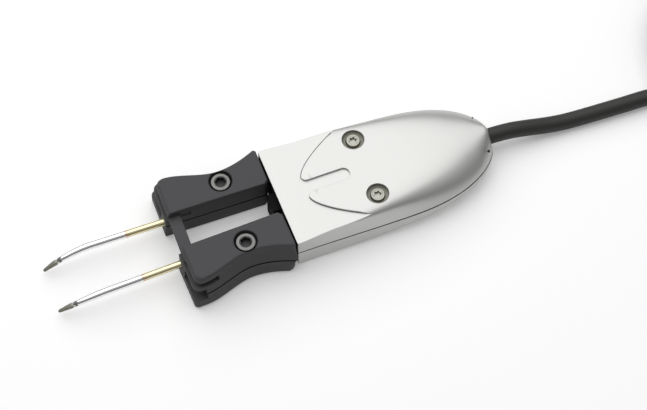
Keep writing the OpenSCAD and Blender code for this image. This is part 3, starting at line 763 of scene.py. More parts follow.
# The case
@dataclass
class Case:
    """Two lofted shells with the lobed panel, the plate in the mouth and the screws."""

    front_w: float = 37.2
    max_w: float = 38.6
    widest: float = 40.0
    tail_len: float = 76.5
    tail_power: float = 2.3
    top_nose_drop: float = 0.3
    bottom_nose_drop: float = 0.12
    nose_power: float = 2.4
    dome_end: float = 66.0
    dome_power: float = 2.6
    top_crisp: float = 30.0
    bottom_crisp: float = 14.0
    foot_flare: float = 0.8
    lean_front: float = 1.2
    lean_run: float = 15.0
    lean_rear: float = 2.6
    lean_rise: float = 40.0
    skin: float = 0.06
    panel_step: float = 0.75
    front_round: float = 0.3
    nose_round: float = 1.0
    lobe_at: float = 9.7
    lobe_tip_y: float = 3.9
    lobe_curve: float = 2.1
    lobe_power: float = 0.65
    lobe_run: float = 19.0
    slot_w: float = 4.4
    slot_end: float = 25.4
    edge_round: float = 0.14
    counterbore_r: float = 3.7
    counterbore_deep: float = 2.4
    recess_deep: float = 1.5
    line_r: float = 0.12
    # Two black beads at the nose's rim, painted shade of two small pits: their size and places
    pit_r: float = 0.5
    near_pit_shade: tuple[float, float, float] = (-74.25, 7.7, 11.0)
    far_pit_shade: tuple[float, float, float] = (-74.0, -5.6, 12.1)
    far_pit_shade_share: float = 0.6
    star_r: float = 1.2
    star_lobe: float = 0.17
    wall: float = 1.8
    top_wall: float = 2.2
    room_len: float = 35.8
    bezel_t: float = 1.6
    bezel_rim: float = 0.8
    bezel_gap: float = 0.1
    window_in: float = 6.4
    window_out: float = 14.95
    window_low: float = 4.0
    window_high: float = 10.4
    stop_ahead: float = 2.6
    stop_half_w: float = 3.35
    stop_low: float = 0.8
    stop_high: float = 11.4
    stop_round: float = 0.2
    plate_edge: float = 0.12
    grommet_r: float = 3.7
    bore_deep: float = 14.0
    head_r: float = 2.35
    head_h: float = 1.8
    shank_r: float = 1.25
    shank_len: float = 8.0
    dense_points: int = 721
    side_levels: int = 80
    shell_points: int = 161
    mouth_points: int = 81
    line_points: int = 60

    def half_width(self, s: np.ndarray) -> np.ndarray:
        """Half width behind the front: it eases out to the widest place, then a tail closes it.

        Args:
            s: Distances in millimetres.

        Returns:
            Half widths.
        """
        fore = (self.front_w + (self.max_w - self.front_w)*ease(s/self.widest))/2
        u = np.clip((s - self.widest)/(self.tail_len - self.widest), 0.0, 1.0)
        return np.where(s < self.widest, fore, self.max_w/2*np.sqrt(1.0 - u**self.tail_power))

    def sections(self, upper: bool, stations: np.ndarray, points: int) -> np.ndarray:
        """Sections of one shell: a rounded rectangle that leans in and turns into a dome.

        They are first drawn densely, evenly round the section and evenly in height near the seam.

        Args:
            upper: The upper shell, or else the lower one.
            stations: Distances behind the front.
            points: Points of each section.

        Returns:
            Stations by points by 2: y, and height above or below the seam.
        """
        height = PLAN.case_h - PLAN.seam_z if upper else PLAN.seam_z
        crisp = self.top_crisp if upper else self.bottom_crisp
        back = np.clip((stations - self.widest)/(PLAN.case_len - self.widest), 0.0, 1.0)
        domed = np.minimum(stations/self.dome_end, 1.0)**2
        drop = self.top_nose_drop if upper else self.bottom_nose_drop
        fore = np.clip(self.front_round - stations, 0.0, None)
        aft = np.clip(stations - PLAN.case_len + self.nose_round, 0.0, None)
        inset = (self.front_round - np.sqrt(self.front_round**2 - fore**2)
                 + self.nose_round - np.sqrt(self.nose_round**2 - aft**2))
        width = (self.half_width(stations) - inset)[:, None]
        rise = ((height + self.skin)*(1.0 - drop*back**self.nose_power) - inset)[:, None]
        exponent = 2.0*(1.0/crisp + (1.0/self.dome_power - 1.0/crisp)*domed)[:, None]
        even = np.repeat(np.linspace(0.0, np.pi, self.dense_points)[None, :], len(stations), axis=0)
        side = np.arcsin(np.linspace(0.0, 1.0, self.side_levels + 2)[None, 1:-1]**(1.0/exponent))
        t = np.sort(np.concatenate([even, side, np.pi - side], axis=1), axis=1)
        z = rise*np.abs(np.sin(t))**exponent
        lean = (self.lean_front*ease(stations/self.lean_run)
                + self.lean_rear*ease((stations - self.lean_run)/self.lean_rise))
        flare = -lean[:, None] if upper else self.foot_flare
        y = np.sign(np.cos(t))*(width + flare*z/rise)*np.abs(np.cos(t))**exponent
        z = np.minimum(z, height - np.minimum(inset, self.front_round)[:, None])
        return np.array([self.grooved(a, b, points) for a, b in zip(y, z)])

    def grooved(self, y: np.ndarray, z: np.ndarray, points: int) -> np.ndarray:
        """Draws both ends of a section in to the floor of the parting groove.

        Args:
            y: Dense places across the case.
            z: Dense heights.
            points: Number of points to give.

        Returns:
            Points by 2.
        """
        deep, lip = PLAN.seam_deep, PLAN.seam_bevel
        groove = np.array([[deep, 0.0], [deep, FLOOR_SHARE*lip], [0.0, SLOPE_SHARE*lip]])
        skin = z >= lip
        line = self.resample(y[skin], z[skin], points - 2*len(groove))
        near = groove*[-1, 1] + [line[0, 0], 0.0]
        far = groove[::-1] + [line[-1, 0], 0.0]
        return np.vstack([near, line, far])

    @staticmethod
    def resample(y: np.ndarray, z: np.ndarray, points: int) -> np.ndarray:
        """Spreads points along a section by its length and by how much it turns, half and half.

        Args:
            y: Dense places across the case.
            z: Dense heights.
            points: Number of points to give.

        Returns:
            Points by 2.
        """
        dy, dz = np.diff(y), np.diff(z)
        length = np.hypot(dy, dz) + 1e-9
        turn = np.abs(np.diff(np.unwrap(np.arctan2(dz, dy)), prepend=0.0))
        turn[0] = 0.0
        measure = length/length.sum() + turn/max(turn.sum(), 1e-9)
        along = np.concatenate([[0.0], np.cumsum(measure)])
        want = np.linspace(0.0, along[-1], points)
        return np.column_stack([np.interp(want, along, y), np.interp(want, along, z)])

    def shell(self, upper: bool) -> bpy.types.Object:
        """Lofts one shell as a closed solid.

        Args:
            upper: The upper shell, or else the lower one.

        Returns:
            The shell.
        """
        front = np.linspace(0.0, self.front_round, 5)
        middle = np.linspace(self.front_round, PLAN.case_len - self.nose_round, 70)[1:]
        nose = PLAN.case_len - self.nose_round*(1.0 - np.sin(np.linspace(0.0, np.pi/2, 9)[1:]))
        stations = np.concatenate([front, middle, nose])[::-1]
        line = self.sections(upper, stations, self.shell_points)
        rings = np.empty((*line.shape[:2], 3))
        rings[..., 0] = PLAN.front_x - stations[:, None]
        rings[..., 1] = line[..., 0]
        rings[..., 2] = PLAN.seam_z + (1 if upper else -1)*line[..., 1]
        name = "case_upper" if upper else "case_lower"
        return ring_solid(name, rings if upper else rings[:, ::-1])

    def panel_outline(self) -> np.ndarray:
        """Plan of what lies ahead of the lobes and in the round-ended slot between their rounded tips.

        Returns:
            Plan points, counter-clockwise.
        """
        d = self.lobe_run*np.linspace(0.0, 1.0, self.line_points)**2
        lobe = np.column_stack([-self.lobe_at - d, self.lobe_tip_y + self.lobe_curve*d**self.lobe_power])
        r = self.lobe_tip_y - self.slot_w/2
        a = np.linspace(0.0, np.pi/2, 14)[:-1]
        tip = np.column_stack([-self.lobe_at - r*(1 - np.sin(a)), self.slot_w/2 + r*(1 - np.cos(a))])
        b = np.linspace(np.pi, np.pi/2, 14)
        end_r = self.slot_w/2
        end = np.column_stack([-self.slot_end + end_r + end_r*np.cos(b), end_r*np.sin(b)])
        straight = np.linspace(-self.slot_end + end_r, -self.lobe_at - r, 16)[1:-1]
        wall_line = np.column_stack([straight, np.full(len(straight), end_r)])
        near = np.vstack([end, wall_line, tip, lobe])
        far = (near*[1, -1])[::-1][:-1]
        rear, ahead, w = near[-1, 0], 2.0, self.max_w
        beyond = np.array([[rear, w], [ahead, w], [ahead, -w], [rear, -w]])
        outline = np.vstack([far, near, beyond])
        outline[:, 0] += PLAN.front_x
        return outline[::-1]

    def mouth(self, inset: float) -> np.ndarray:
        """Outline of the front, drawn in all round: both halves' front sections.

        Args:
            inset: How far it is drawn in.

        Returns:
            Points by 2: y and z, counter-clockwise seen from the tips.
        """
        t = np.linspace(0.0, np.pi, self.dense_points)
        halves = []
        for height, crisp in ((PLAN.case_h - self.panel_step - PLAN.seam_z, self.top_crisp),
                              (PLAN.seam_z, self.bottom_crisp)):
            y = np.sign(np.cos(t))*(self.front_w/2 - inset)*np.abs(np.cos(t))**(2.0/crisp)
            z = (height - inset)*np.abs(np.sin(t))**(2.0/crisp)
            halves.append(self.resample(y, z, self.mouth_points))
        return np.vstack([halves[0], (halves[1]*[1, -1])[-2:0:-1]]) + [0.0, PLAN.seam_z]

    def mouth_block(self, name: str, inset: float,
                    levels: Sequence[tuple[float, float]]) -> bpy.types.Object:
        """Stacks the front's outline along X.

        Args:
            name: Name of the object.
            inset: How far the outline is drawn in.
            levels: Pairs of a distance ahead of the front and a further inset there.

        Returns:
            The object.
        """
        lines = [(PLAN.front_x + x, self.mouth(inset + more)) for x, more in levels]
        return ring_solid(name, np.array([np.column_stack([np.full(len(p), x), p]) for x, p in lines]))

    def room(self) -> list[bpy.types.Object]:
        """Hollow of the case behind its mouth, and the seat of the front plate.

        Returns:
            The cutters.
        """
        half_w = self.front_w/2 - self.wall
        behind = block("room", (PLAN.front_x - self.room_len, -half_w, self.wall),
                       (PLAN.front_x + 1, half_w, PLAN.case_h - self.top_wall))
        seat = self.mouth_block("seat", self.bezel_rim, [(-self.bezel_t, 0.0), (1.0, 0.0)])
        return [behind, seat]

    def nose_bore(self) -> bpy.types.Object:
        """Round hole for the grommet.

        Returns:
            The cutter.
        """
        bore = turned("bore", [(self.grommet_r, -1.0), (self.grommet_r, self.bore_deep)])
        place(bore, shift(PLAN.front_x - PLAN.case_len, 0.0, PLAN.cable_z) @ ALONG_X)
        return bore

    @staticmethod
    def screw_place(sign: int, z: float) -> Matrix:
        """Place of a case screw, over an arm's pivot.

        Args:
            sign: 1 for the near screw, -1 for the far one.
            z: Height.

        Returns:
            The transform in metres.
        """
        return shift(PLAN.front_x - PLAN.pivot_back, sign*PLAN.pivot_out, z)

    def top_cuts(self) -> list[bpy.types.Object]:
        """Cuts in the upper shell's top: the panel's step and the screw recesses, all with rounded rims.

        Returns:
            The cutters.
        """
        top, e = PLAN.case_h, self.edge_round
        cutters = [prism("ahead", self.panel_outline(), [
            (top - self.panel_step, -0.03), (top - e, 0.0), (top - 0.3*e, 0.35*e), (top + 0.01, e),
            (top + 3, e)])]
        head, rim, floor = self.head_r, self.counterbore_r, top - self.recess_deep
        profile = [
            (head + 0.1, top - self.counterbore_deep), (head + 0.1, floor - 0.1), (head + 0.2, floor),
            (rim - 0.25, floor), (rim, floor + 0.25), (rim, top - 2*e), (rim + 0.3*e, top - 0.6*e),
            (rim + e, top + 0.01), (rim + e, top + 2)]
        for sign in (-1, 1):
            recess = turned("recess", profile)
            place(recess, self.screw_place(sign, 0.0))
            cutters.append(recess)
        return cutters

    def build_shells(self) -> None:
        """Builds both shells and cuts the panel's step, the screw recesses, the mouth and the nose."""
        for upper, node in ((True, "upper_shell"), (False, "lower_shell")):
            shell = self.shell(upper)
            cutters = self.top_cuts() if upper else []
            cut(shell, [*cutters, *self.room(), self.nose_bore()])
            shade(shell)
            dress(shell, SILVER, "handle", "silver_case", node)
            self.darken(shell)
        self.build_lines()

    def darken(self, shell: bpy.types.Object) -> None:
        """Paints shade into the parting groove, near black, and into the screw recesses, grey.

        Args:
            shell: A shell, whose outer skin already has its finish.
        """
        # Painted shade in the parting groove
        paint_groove_shade(shell, PLAN.seam_bevel, 0.8)
        # Painted shade on the walls and floors of the screw recesses
        centre = middles_of(shell)
        off = np.hypot(centre[:, 0] - PLAN.front_x + PLAN.pivot_back, np.abs(centre[:, 1]) - PLAN.pivot_out)
        depth = PLAN.case_h - centre[:, 2]
        sunk = (depth > 0.4) & (depth < self.counterbore_deep + 0.1)
        inlay(shell, RECESS_SHADE, (off < self.counterbore_r + 0.02) & sunk)

    def build_lines(self) -> None:
        """Builds the fine dark joint along the lobes' outer edges, and two black beads at the nose's rim:
        painted shade of two small pits.
        """
        count = self.line_points
        d = self.lobe_run*np.linspace(0.0, 0.9, count)**2
        edge = self.lobe_tip_y + self.lobe_curve*d**self.lobe_power
        lines = []
        for sign, z, inside in ((-1, PLAN.case_h - 0.2*self.line_r, 1.3*self.line_r),
                                (1, PLAN.case_h - self.panel_step + 0.05, 0.0)):
            outline = np.column_stack([PLAN.front_x - self.lobe_at - d, sign*(edge - inside)])
            r = np.full(count, self.line_r)
            lines.append(swept("joint_line", at_height(outline, z), r, r, sides=8))
        # Black beads whose black is painted shade of the two pits
        for spot, size in ((self.near_pit_shade, self.pit_r), (self.far_pit_shade, self.far_pit_shade_share*self.pit_r)):
            x = size*np.linspace(-0.95, 0.95, 9)
            r = np.sqrt(size**2 - x**2)
            lines.append(swept("pit", np.column_stack([x, 0*x, 0*x]) + spot, r, r, sides=12))
        made = joined("case_joints_and_pit_shade", lines)
        shade(made)
        dress(made, BLACK_AND_SHADE, "handle", "black_plastic")

    def build_plate(self) -> None:
        """Builds the black plate in the mouth, with a window for each lever."""
        x1 = PLAN.front_x
        edge = self.plate_edge
        through = 5.0
        plate = self.mouth_block("front_plate", self.bezel_rim + self.bezel_gap,
                                 [(-self.bezel_t, 0.0), (-edge, 0.0), (-0.3*edge, 0.3*edge), (0.0, edge)])
        stop = block("stop", (x1 - self.bezel_t/2, -self.stop_half_w, self.stop_low),
                     (x1 + self.stop_ahead, self.stop_half_w, self.stop_high))
        bevel(stop, self.stop_round)
        windows = []
        for sign in (-1, 1):
            y0, y1 = sorted((sign*self.window_in, sign*self.window_out))
            windows.append(block("window", (x1 - through, y0, self.window_low),
                                 (x1 + through, y1, self.window_high)))
        cut(plate, windows)
        plate = joined("front_plate", [plate, stop])
        shade(plate)
        dress(plate, BLACK_AND_SHADE, "handle", "black_plastic", "front_bezel")
        # Painted shade: the stop and the plate's middle front, down between the grips, turn near black
        centre = middles_of(plate)
        inlay(plate, PAINTED_GAP_SHADE, (centre[:, 0] > x1 - edge) & (np.abs(centre[:, 1]) < self.stop_half_w + edge))

    def build_screws(self) -> None:
        """Builds the two case screws: a flat head with a rounded rim and a six-lobed drive."""
        heads = []
        r, h = self.head_r, self.head_h
        profile = [(self.shank_r, -self.shank_len), (self.shank_r, 0.0), (r, 0.0), (r, h - 0.3),
                   (r - 0.05, h - 0.12), (r - 0.17, h), (r - 0.6, h), (r - 0.7, h - 0.08)]
        angle = np.linspace(0.0, 2*np.pi, 96, endpoint=False)
        star_r = self.star_r + self.star_lobe*np.cos(6*angle)
        star = np.column_stack([star_r*np.cos(angle), star_r*np.sin(angle)])
        for sign in (-1, 1):
            head = turned("case_screw_head", profile)
            cut(head, [prism("star", star, [(h - 0.95, 0.0), (h - 0.2, 0.0), (h + 1.0, 0.15)])])
            place(head, self.screw_place(sign, PLAN.case_h - self.counterbore_deep))
            heads.append(head)
        screws = joined("case_screw_pair", heads)
        shade(screws)
        dress(screws, STEEL, "handle", "screw_steel", "case_screws")

    def build(self) -> None:
        """Builds all the case's pieces."""
        self.build_shells()
        self.build_plate()
        self.build_screws()


# The arms
@dataclass
class Arm:
    """One sprung arm: two grip halves, a cap screw and a plug-in heated tip."""

    side: Side
    grip_h: float = 15.0
    rear: float = 0.9
    front: float = 35.8
    inner_y: float = 5.0
    horn_y: float = 18.7
    waist_y: float = 14.7
    waist_at: float = 15.5
    flare_y: float = 18.4
    horn_power: float = 1.8
    draft: float = 2.0
    bulge: float = 0.4
    corner_r: float = 2.5
    lower_corner_r: float = 1.4
    rear_chamfer: float = 1.2
    horn_round: float = 1.0
    lip_ahead: float = 0.9
    lower_ahead: float = 1.5
    lower_horn_round: float = 3.0
    top_round: float = 0.45
    front_slope: float = 0.8
    bottom_round: float = 1.0
    seam_deep: float = 0.4
    seam_bevel: float = 0.32
    pocket_r: float = 3.88
    pocket_deep: float = 3.4
    pocket_rim: float = 0.35
    head_r: float = 3.25
    head_h: float = 2.8
    shank_r: float = 1.5
    shank_len: float = 9.0
    socket_r: float = 1.9
    socket_turn: float = 0.3
    slot_deep: float = 2.4
    slot_h: float = 2.0
    slot_len: float = 8.0
    notch_deep: float = 3.2
    notch_low: float = 4.4
    notch_high: float = 9.4
    notch_from: float = 10.4
    cut_beyond: float = 9.0
    hole_from: float = 30.0
    hole_flare: float = 34.8
    hole_end: float = 36.5
    tip_r: float = 1.25
    tip_inset: float = 1.9
    barrel_start: float = 24.8
    barrel_end: float = 50.3
    bend_at: float = 62.0
    shaft_end: float = 73.6
    drop: float = 4.6
    drop_power: float = 1.8
    toe_in: float = 1.3
    taper: float = 0.3
    taper_power: float = 2.2
    dark_end_len: float = 0.9
    neck_len: float = 0.45
    neck_waist: float = 0.3
    bit_w: float = 0.9
    bit_end_w: float = 0.55
    bit_h: float = 0.86
    bit_end_h: float = 0.26

    @property
    def body(self) -> str:
        """Name of the arm's body.

        Returns:
            The name.
        """
        return f"{self.side.word}_arm"

    @property
    def tip_y(self) -> float:
        """Distance of the tip's axis from the middle line.

        Returns:
            Millimetres in the arm's own frame.
        """
        return self.inner_y + self.tip_inset

    def side_y(self, x: np.ndarray) -> np.ndarray:
        """Outer edge of the grip's top: a power curve in to the waist, then eased out to the front flare.

        Args:
            x: Places along the grip.

        Returns:
            Distances from the middle line.
        """
        rear = np.clip((self.waist_at - x)/(self.waist_at - self.rear), 0.0, None)
        ahead = ease((x - self.waist_at)/(self.front - self.corner_r - self.waist_at))
        horn = (self.horn_y - self.waist_y)*rear**self.horn_power
        flare = (self.flare_y - self.waist_y)*ahead
        return self.waist_y + np.where(x < self.waist_at, horn, flare)

    def outline(self, out: float, back: float, horn_r: float, inset: float, corner: float) -> np.ndarray:
        """Outline of the grip at one height.

        Args:
            out: How far its side stands out from the top's edge.
            back: How far its front stands back.
            horn_r: Radius of its rear horn.
            inset: How far the whole outline is drawn in.
            corner: Radius of its front corner.

        Returns:
            Plan points, counter-clockwise.
        """
        xf = self.front - back - inset
        xr = self.rear + inset
        r = corner - 0.5*inset
        xs = xf - r
        y_in = self.inner_y + inset
        yc = float(self.side_y(np.array(xs))) + out - inset - r
        a = np.linspace(0.0, np.pi/2, 12)
        front = np.column_stack([xs + r*np.cos(a), yc + r*np.sin(a)])
        x = np.linspace(xs, xr + horn_r, 72)[1:]
        edge = np.column_stack([x, self.side_y(x) + out - inset])
        b = np.linspace(0.0, np.pi/2, 8)[1:]
        horn = np.column_stack([xr + horn_r*(1 - np.sin(b)), edge[-1, 1] - horn_r*(1 - np.cos(b))])
        inner_x = np.linspace(xr + self.rear_chamfer, xf, 24)
        inner = np.column_stack([inner_x, np.full(24, y_in)])
        start = np.array([[xr, y_in + self.rear_chamfer]])
        return np.vstack([start, inner, front, edge, horn])

    def half(self, upper: bool) -> bpy.types.Object:
        """Stacks the grip's outlines into one half, with a rounded rim and a bevelled parting edge.

        Args:
            upper: The upper half, or else the lower one.

        Returns:
            The half in the arm's own frame.
        """
        seam, top, b = PLAN.seam_z, self.grip_h, self.seam_bevel
        lip = -self.lip_ahead
        if upper:
            slot_top = top - self.slot_deep
            slot_low = slot_top - self.slot_h
            h = self.horn_round
            r = self.top_round
            knots = np.array([[seam, self.draft, lip, h], [slot_low, 0.6*self.draft, lip, h],
                              [slot_top, 0.3*self.draft, 0.0, h], [top - 2*r, r, 0.2*self.front_slope, h],
                              [top, 0.0, self.front_slope, h]])
            a = np.linspace(0.0, np.pi/2, 7)
            z = np.concatenate([[seam, seam + FLOOR_SHARE*b, seam + b],
                                np.linspace(seam + b, slot_low, 4)[1:],
                                np.linspace(slot_low, slot_top, 3)[1:],
                                np.linspace(slot_top, top - r, 4)[1:], top - r + r*np.sin(a[1:])])
            inset = np.concatenate([[self.seam_deep, self.seam_deep], np.zeros(9), r*(1 - np.cos(a[1:]))])
        else:
            full, h = self.draft + self.bulge, self.lower_horn_round
            knots = np.array([[0.0, full, -self.lower_ahead, h], [seam/2, full, -self.lower_ahead, h],
                              [seam - b, self.draft, lip, self.horn_round],
                              [seam, self.draft, lip, self.horn_round]])
            a = np.linspace(np.pi/2, 0.0, 8)
            r = self.bottom_round
            z = np.concatenate([r - r*np.sin(a), np.linspace(r, seam - b, 7)[1:],
                                [seam - FLOOR_SHARE*b, seam]])
            inset = np.concatenate([r*(1 - np.cos(a)), np.zeros(6), [self.seam_deep, self.seam_deep]])
        corner = self.corner_r if upper else self.lower_corner_r
        out, back, horn = (np.interp(z, knots[:, 0], knots[:, k]) for k in (1, 2, 3))
        lines = [self.outline(*row, corner) for row in zip(out, back, horn, inset)]
        rings = np.array([at_height(p, height) for p, height in zip(lines, z)])
        return ring_solid(f"{self.side.word}_grip_{'top' if upper else 'base'}", rings)

    def shared_cuts(self) -> list[bpy.types.Object]:
        """Hollows of both grip halves: the tip's hole and the step in the front.

        Returns:
            The cutters.
        """
        r = self.tip_r + 0.12
        hole = turned("hole", [(r, self.hole_from), (r, self.hole_flare),
                               (self.tip_r + 0.5, self.hole_end)])
        place(hole, shift(0.0, self.tip_y, PLAN.seam_z) @ ALONG_X)
        notch = block("notch", (self.front - self.notch_deep, self.notch_from, self.notch_low),
                      (self.front + self.cut_beyond, self.flare_y + self.cut_beyond, self.notch_high))
        return [hole, notch]

    def build_grip(self) -> None:
        """Builds both grip halves."""
        top, r, rim = self.grip_h, self.pocket_r, self.pocket_rim
        upper = self.half(True)
        pocket = turned("pocket", [(r, top - self.pocket_deep), (r, top - rim), (r + 0.1, top - 0.12),
                                   (r + rim, top + 0.02), (r + rim, top + 2)])
        place(pocket, shift(self.waist_at, PLAN.pivot_out, 0.0))
        slot_top = top - self.slot_deep
        slot = block("slot", (self.front - self.slot_len, 0.0, slot_top - self.slot_h),
                     (self.front + self.cut_beyond, self.flare_y + self.cut_beyond, slot_top))
        cut(upper, [pocket, slot, *self.shared_cuts()])
        lower = self.half(False)
        cut(lower, self.shared_cuts())
        for piece, part in ((upper, "grip_upper"), (lower, "grip_lower")):
            place(piece, PLAN.arm_matrix(self.side))
            shade(piece, angle=28.0)
            dress(piece, GRIP, self.body, "grip_plastic", f"{self.side.word}_{part}")
            # Painted shade: the grips' parting groove turns near black
            paint_groove_shade(piece, self.seam_bevel, 0.85)

    def build_screw(self) -> None:
        """Builds the cap screw: a ring-shaped head with a hexagon socket."""
        r, h = self.head_r, self.head_h
        head = turned("cap_screw", [
            (self.shank_r, -self.shank_len), (self.shank_r, 0.0), (r - 0.1, 0.0), (r, 0.15), (r, h - 0.35),
            (r - 0.12, h - 0.1), (r - 0.4, h), (self.socket_r + 0.25, h), (self.socket_r + 0.1, h - 0.12)])
        a = np.arange(6)*np.pi/3 + self.socket_turn
        hexagon = self.socket_r*np.column_stack([np.cos(a), np.sin(a)])
        cut(head, [prism("hexagon", hexagon, [(h - 1.9, 0.0), (h + 1.0, 0.0)])])
        head.name = f"{self.side.word}_cap_screw"
        seat = self.grip_h - self.pocket_deep
        at = PLAN.arm_matrix(self.side) @ shift(self.waist_at, PLAN.pivot_out, seat)
        place(head, at)
        shade(head)
        dress(head, DARK_STEEL, self.body, "screw_steel", f"{self.side.word}_grip_screw")
        # Painted shade: the inside of the hexagon socket turns black
        centre = middles_of(head)
        off = np.hypot(centre[:, 0] - at.translation.x/MM, centre[:, 1] - at.translation.y/MM)
        inlay(head, BLACK_AND_SHADE, (off < self.socket_r) & (centre[:, 2] < seat + h - 0.1))

    def line(self, x: np.ndarray) -> np.ndarray:
        """Middle line of the tip: straight to the bend, then down and inwards in power curves.

        Args:
            x: Places along the tip.

        Returns:
            Rows of x, y and z.
        """
        u = np.clip((x - self.bend_at)/(PLAN.tip_reach - self.bend_at), 0.0, None)
        z = PLAN.seam_z - self.drop*u**self.drop_power
        return np.column_stack([x, self.tip_y - self.toe_in*u**2, z])

    def build_tip(self) -> None:
        """Builds the gilded barrel, the bent polished shaft and the flattened bit."""
        word = self.side.word
        matrix = PLAN.arm_matrix(self.side)
        start, end = self.barrel_start, self.barrel_end
        x = np.array([start, start + 1, end - 0.3, end - 0.1, end])
        r = np.array([1.0, 1.0, 1.0, 0.98, 0.92])*self.tip_r
        barrel = swept(f"{word}_barrel", self.line(x), r, r, sides=48)
        x = np.concatenate([[end - 0.5, end + 0.05, end + 0.25], np.linspace(end + 2, self.shaft_end, 60)])
        u = np.clip((x - self.bend_at)/(self.shaft_end - self.bend_at), 0.0, 1.0)
        r = self.tip_r*(1 - self.taper*u**self.taper_power)
        r[:2] *= [0.85, 0.95]
        shaft = swept(f"{word}_shaft", self.line(x), r, r, sides=48)
        x = np.linspace(self.shaft_end - 0.4, PLAN.tip_reach, 40)
        u = np.linspace(0.0, 1.0, 40)
        neck = 1 - self.neck_waist*np.exp(-((u - 0.1)/0.05)**2)
        half_w = (self.bit_w + (self.bit_end_w - self.bit_w)*np.clip((u - 0.3)/0.7, 0, 1))*neck
        half_h = (self.bit_h + (self.bit_end_h - self.bit_h)*u**1.2)*neck
        rounded = np.sqrt(np.clip(1 - np.clip((u - 0.93)/0.07, 0, 1)**2, 0.2, 1))
        bit = swept(f"{word}_bit", self.line(x), half_w*rounded, half_h, sides=32, power=2.8)
        for piece, finish, slot, node in ((barrel, GILT, "tip_gilt", "tip_barrel"),
                                          (shaft, CHROME, "tip_chrome", "tip_shaft"),
                                          (bit, TINNED, "tip_tinned", "tip_bit")):
            place(piece, matrix)
            shade(piece)
            dress(piece, finish, self.body, slot, f"{word}_{node}")
        joint_x = PLAN.front_x + self.shaft_end
        # The shaft's last part gets the darker steel, a darker ring at its end
        inlay(shaft, DARK_STEEL, middles_of(shaft)[:, 0] > joint_x - self.dark_end_len)
        inlay(bit, CHROME, middles_of(bit)[:, 0] < joint_x + self.neck_len)

    def build(self) -> None:
        """Builds all the arm's pieces."""
        self.build_grip()
        self.build_screw()
        self.build_tip()


@dataclass
class GuideBar:
    """Flat bar across the gap: its wide head sits in the far grip, its end slides in the near one."""

    width: float = 4.1
    thick: float = 1.5
    front: float = 35.7
    slot_rear: float = 27.8
    slot_low: float = 10.6
    slot_h: float = 2.0
    inner_y: float = 5.0
    outer_y: float = 16.6
    reach: float = 16.8
    edge_round: float = 0.25

    def build(self) -> None:
        """Builds the bar as one piece with rounded edges."""
        mid = self.slot_low + self.slot_h/2
        head = block("guide_bar_head", (self.slot_rear, self.inner_y + 0.3, self.slot_low),
                     (self.front, self.outer_y, self.slot_low + self.slot_h))
        bar = block("guide_bar_tongue",
                    (self.front - self.width, self.inner_y - self.reach, mid - self.thick/2),
                    (self.front, self.inner_y + 1, mid + self.thick/2))
        for part in (head, bar):
            bevel(part, self.edge_round)
        piece = joined("guide_bar_piece", [bar, head])
        place(piece, PLAN.arm_matrix(Side.FAR))
        shade(piece)
        dress(piece, GRIP, "far_arm", "black_plastic", "guide_bar")


@dataclass
class Spring:
    """Return spring between the case's middle rib and a lever."""

    side: Side
    back: float = 12.0
    low: float = 1.65
    high: float = 7.95
    radius: float = 2.0
    wire: float = 0.6
    turns: float = 5.0
    turn_points: int = 28
    wire_points: int = 10
    closed_share: float = 0.8

    def build(self) -> None:
        """Builds the wound wire as a helix about Y."""
        a = np.linspace(0.0, 2*np.pi*self.turns, int(self.turn_points*self.turns))
        y = np.interp(a, [0.0, a[-1]], [self.low, self.high])
        b = np.linspace(0.0, 2*np.pi, self.wire_points, endpoint=False)
        reach = self.radius + self.wire/2*np.cos(b)[None, :]
        rings = np.empty((len(a), len(b), 3))
        rings[..., 0] = PLAN.front_x - self.back + reach*np.cos(a)[:, None]
        rings[..., 1] = y[:, None] + self.wire/2*np.sin(b)[None, :]
        rings[..., 2] = PLAN.seam_z + reach*np.sin(a)[:, None]
        piece = ring_solid(f"{self.side.word}_return_spring", rings)
        place(piece, Matrix.Diagonal((1.0, float(self.side.value), 1.0, 1.0)))
        shade(piece)
        dress(piece, STEEL, "handle", "screw_steel", f"{self.side.word}_spring")
        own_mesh(piece)


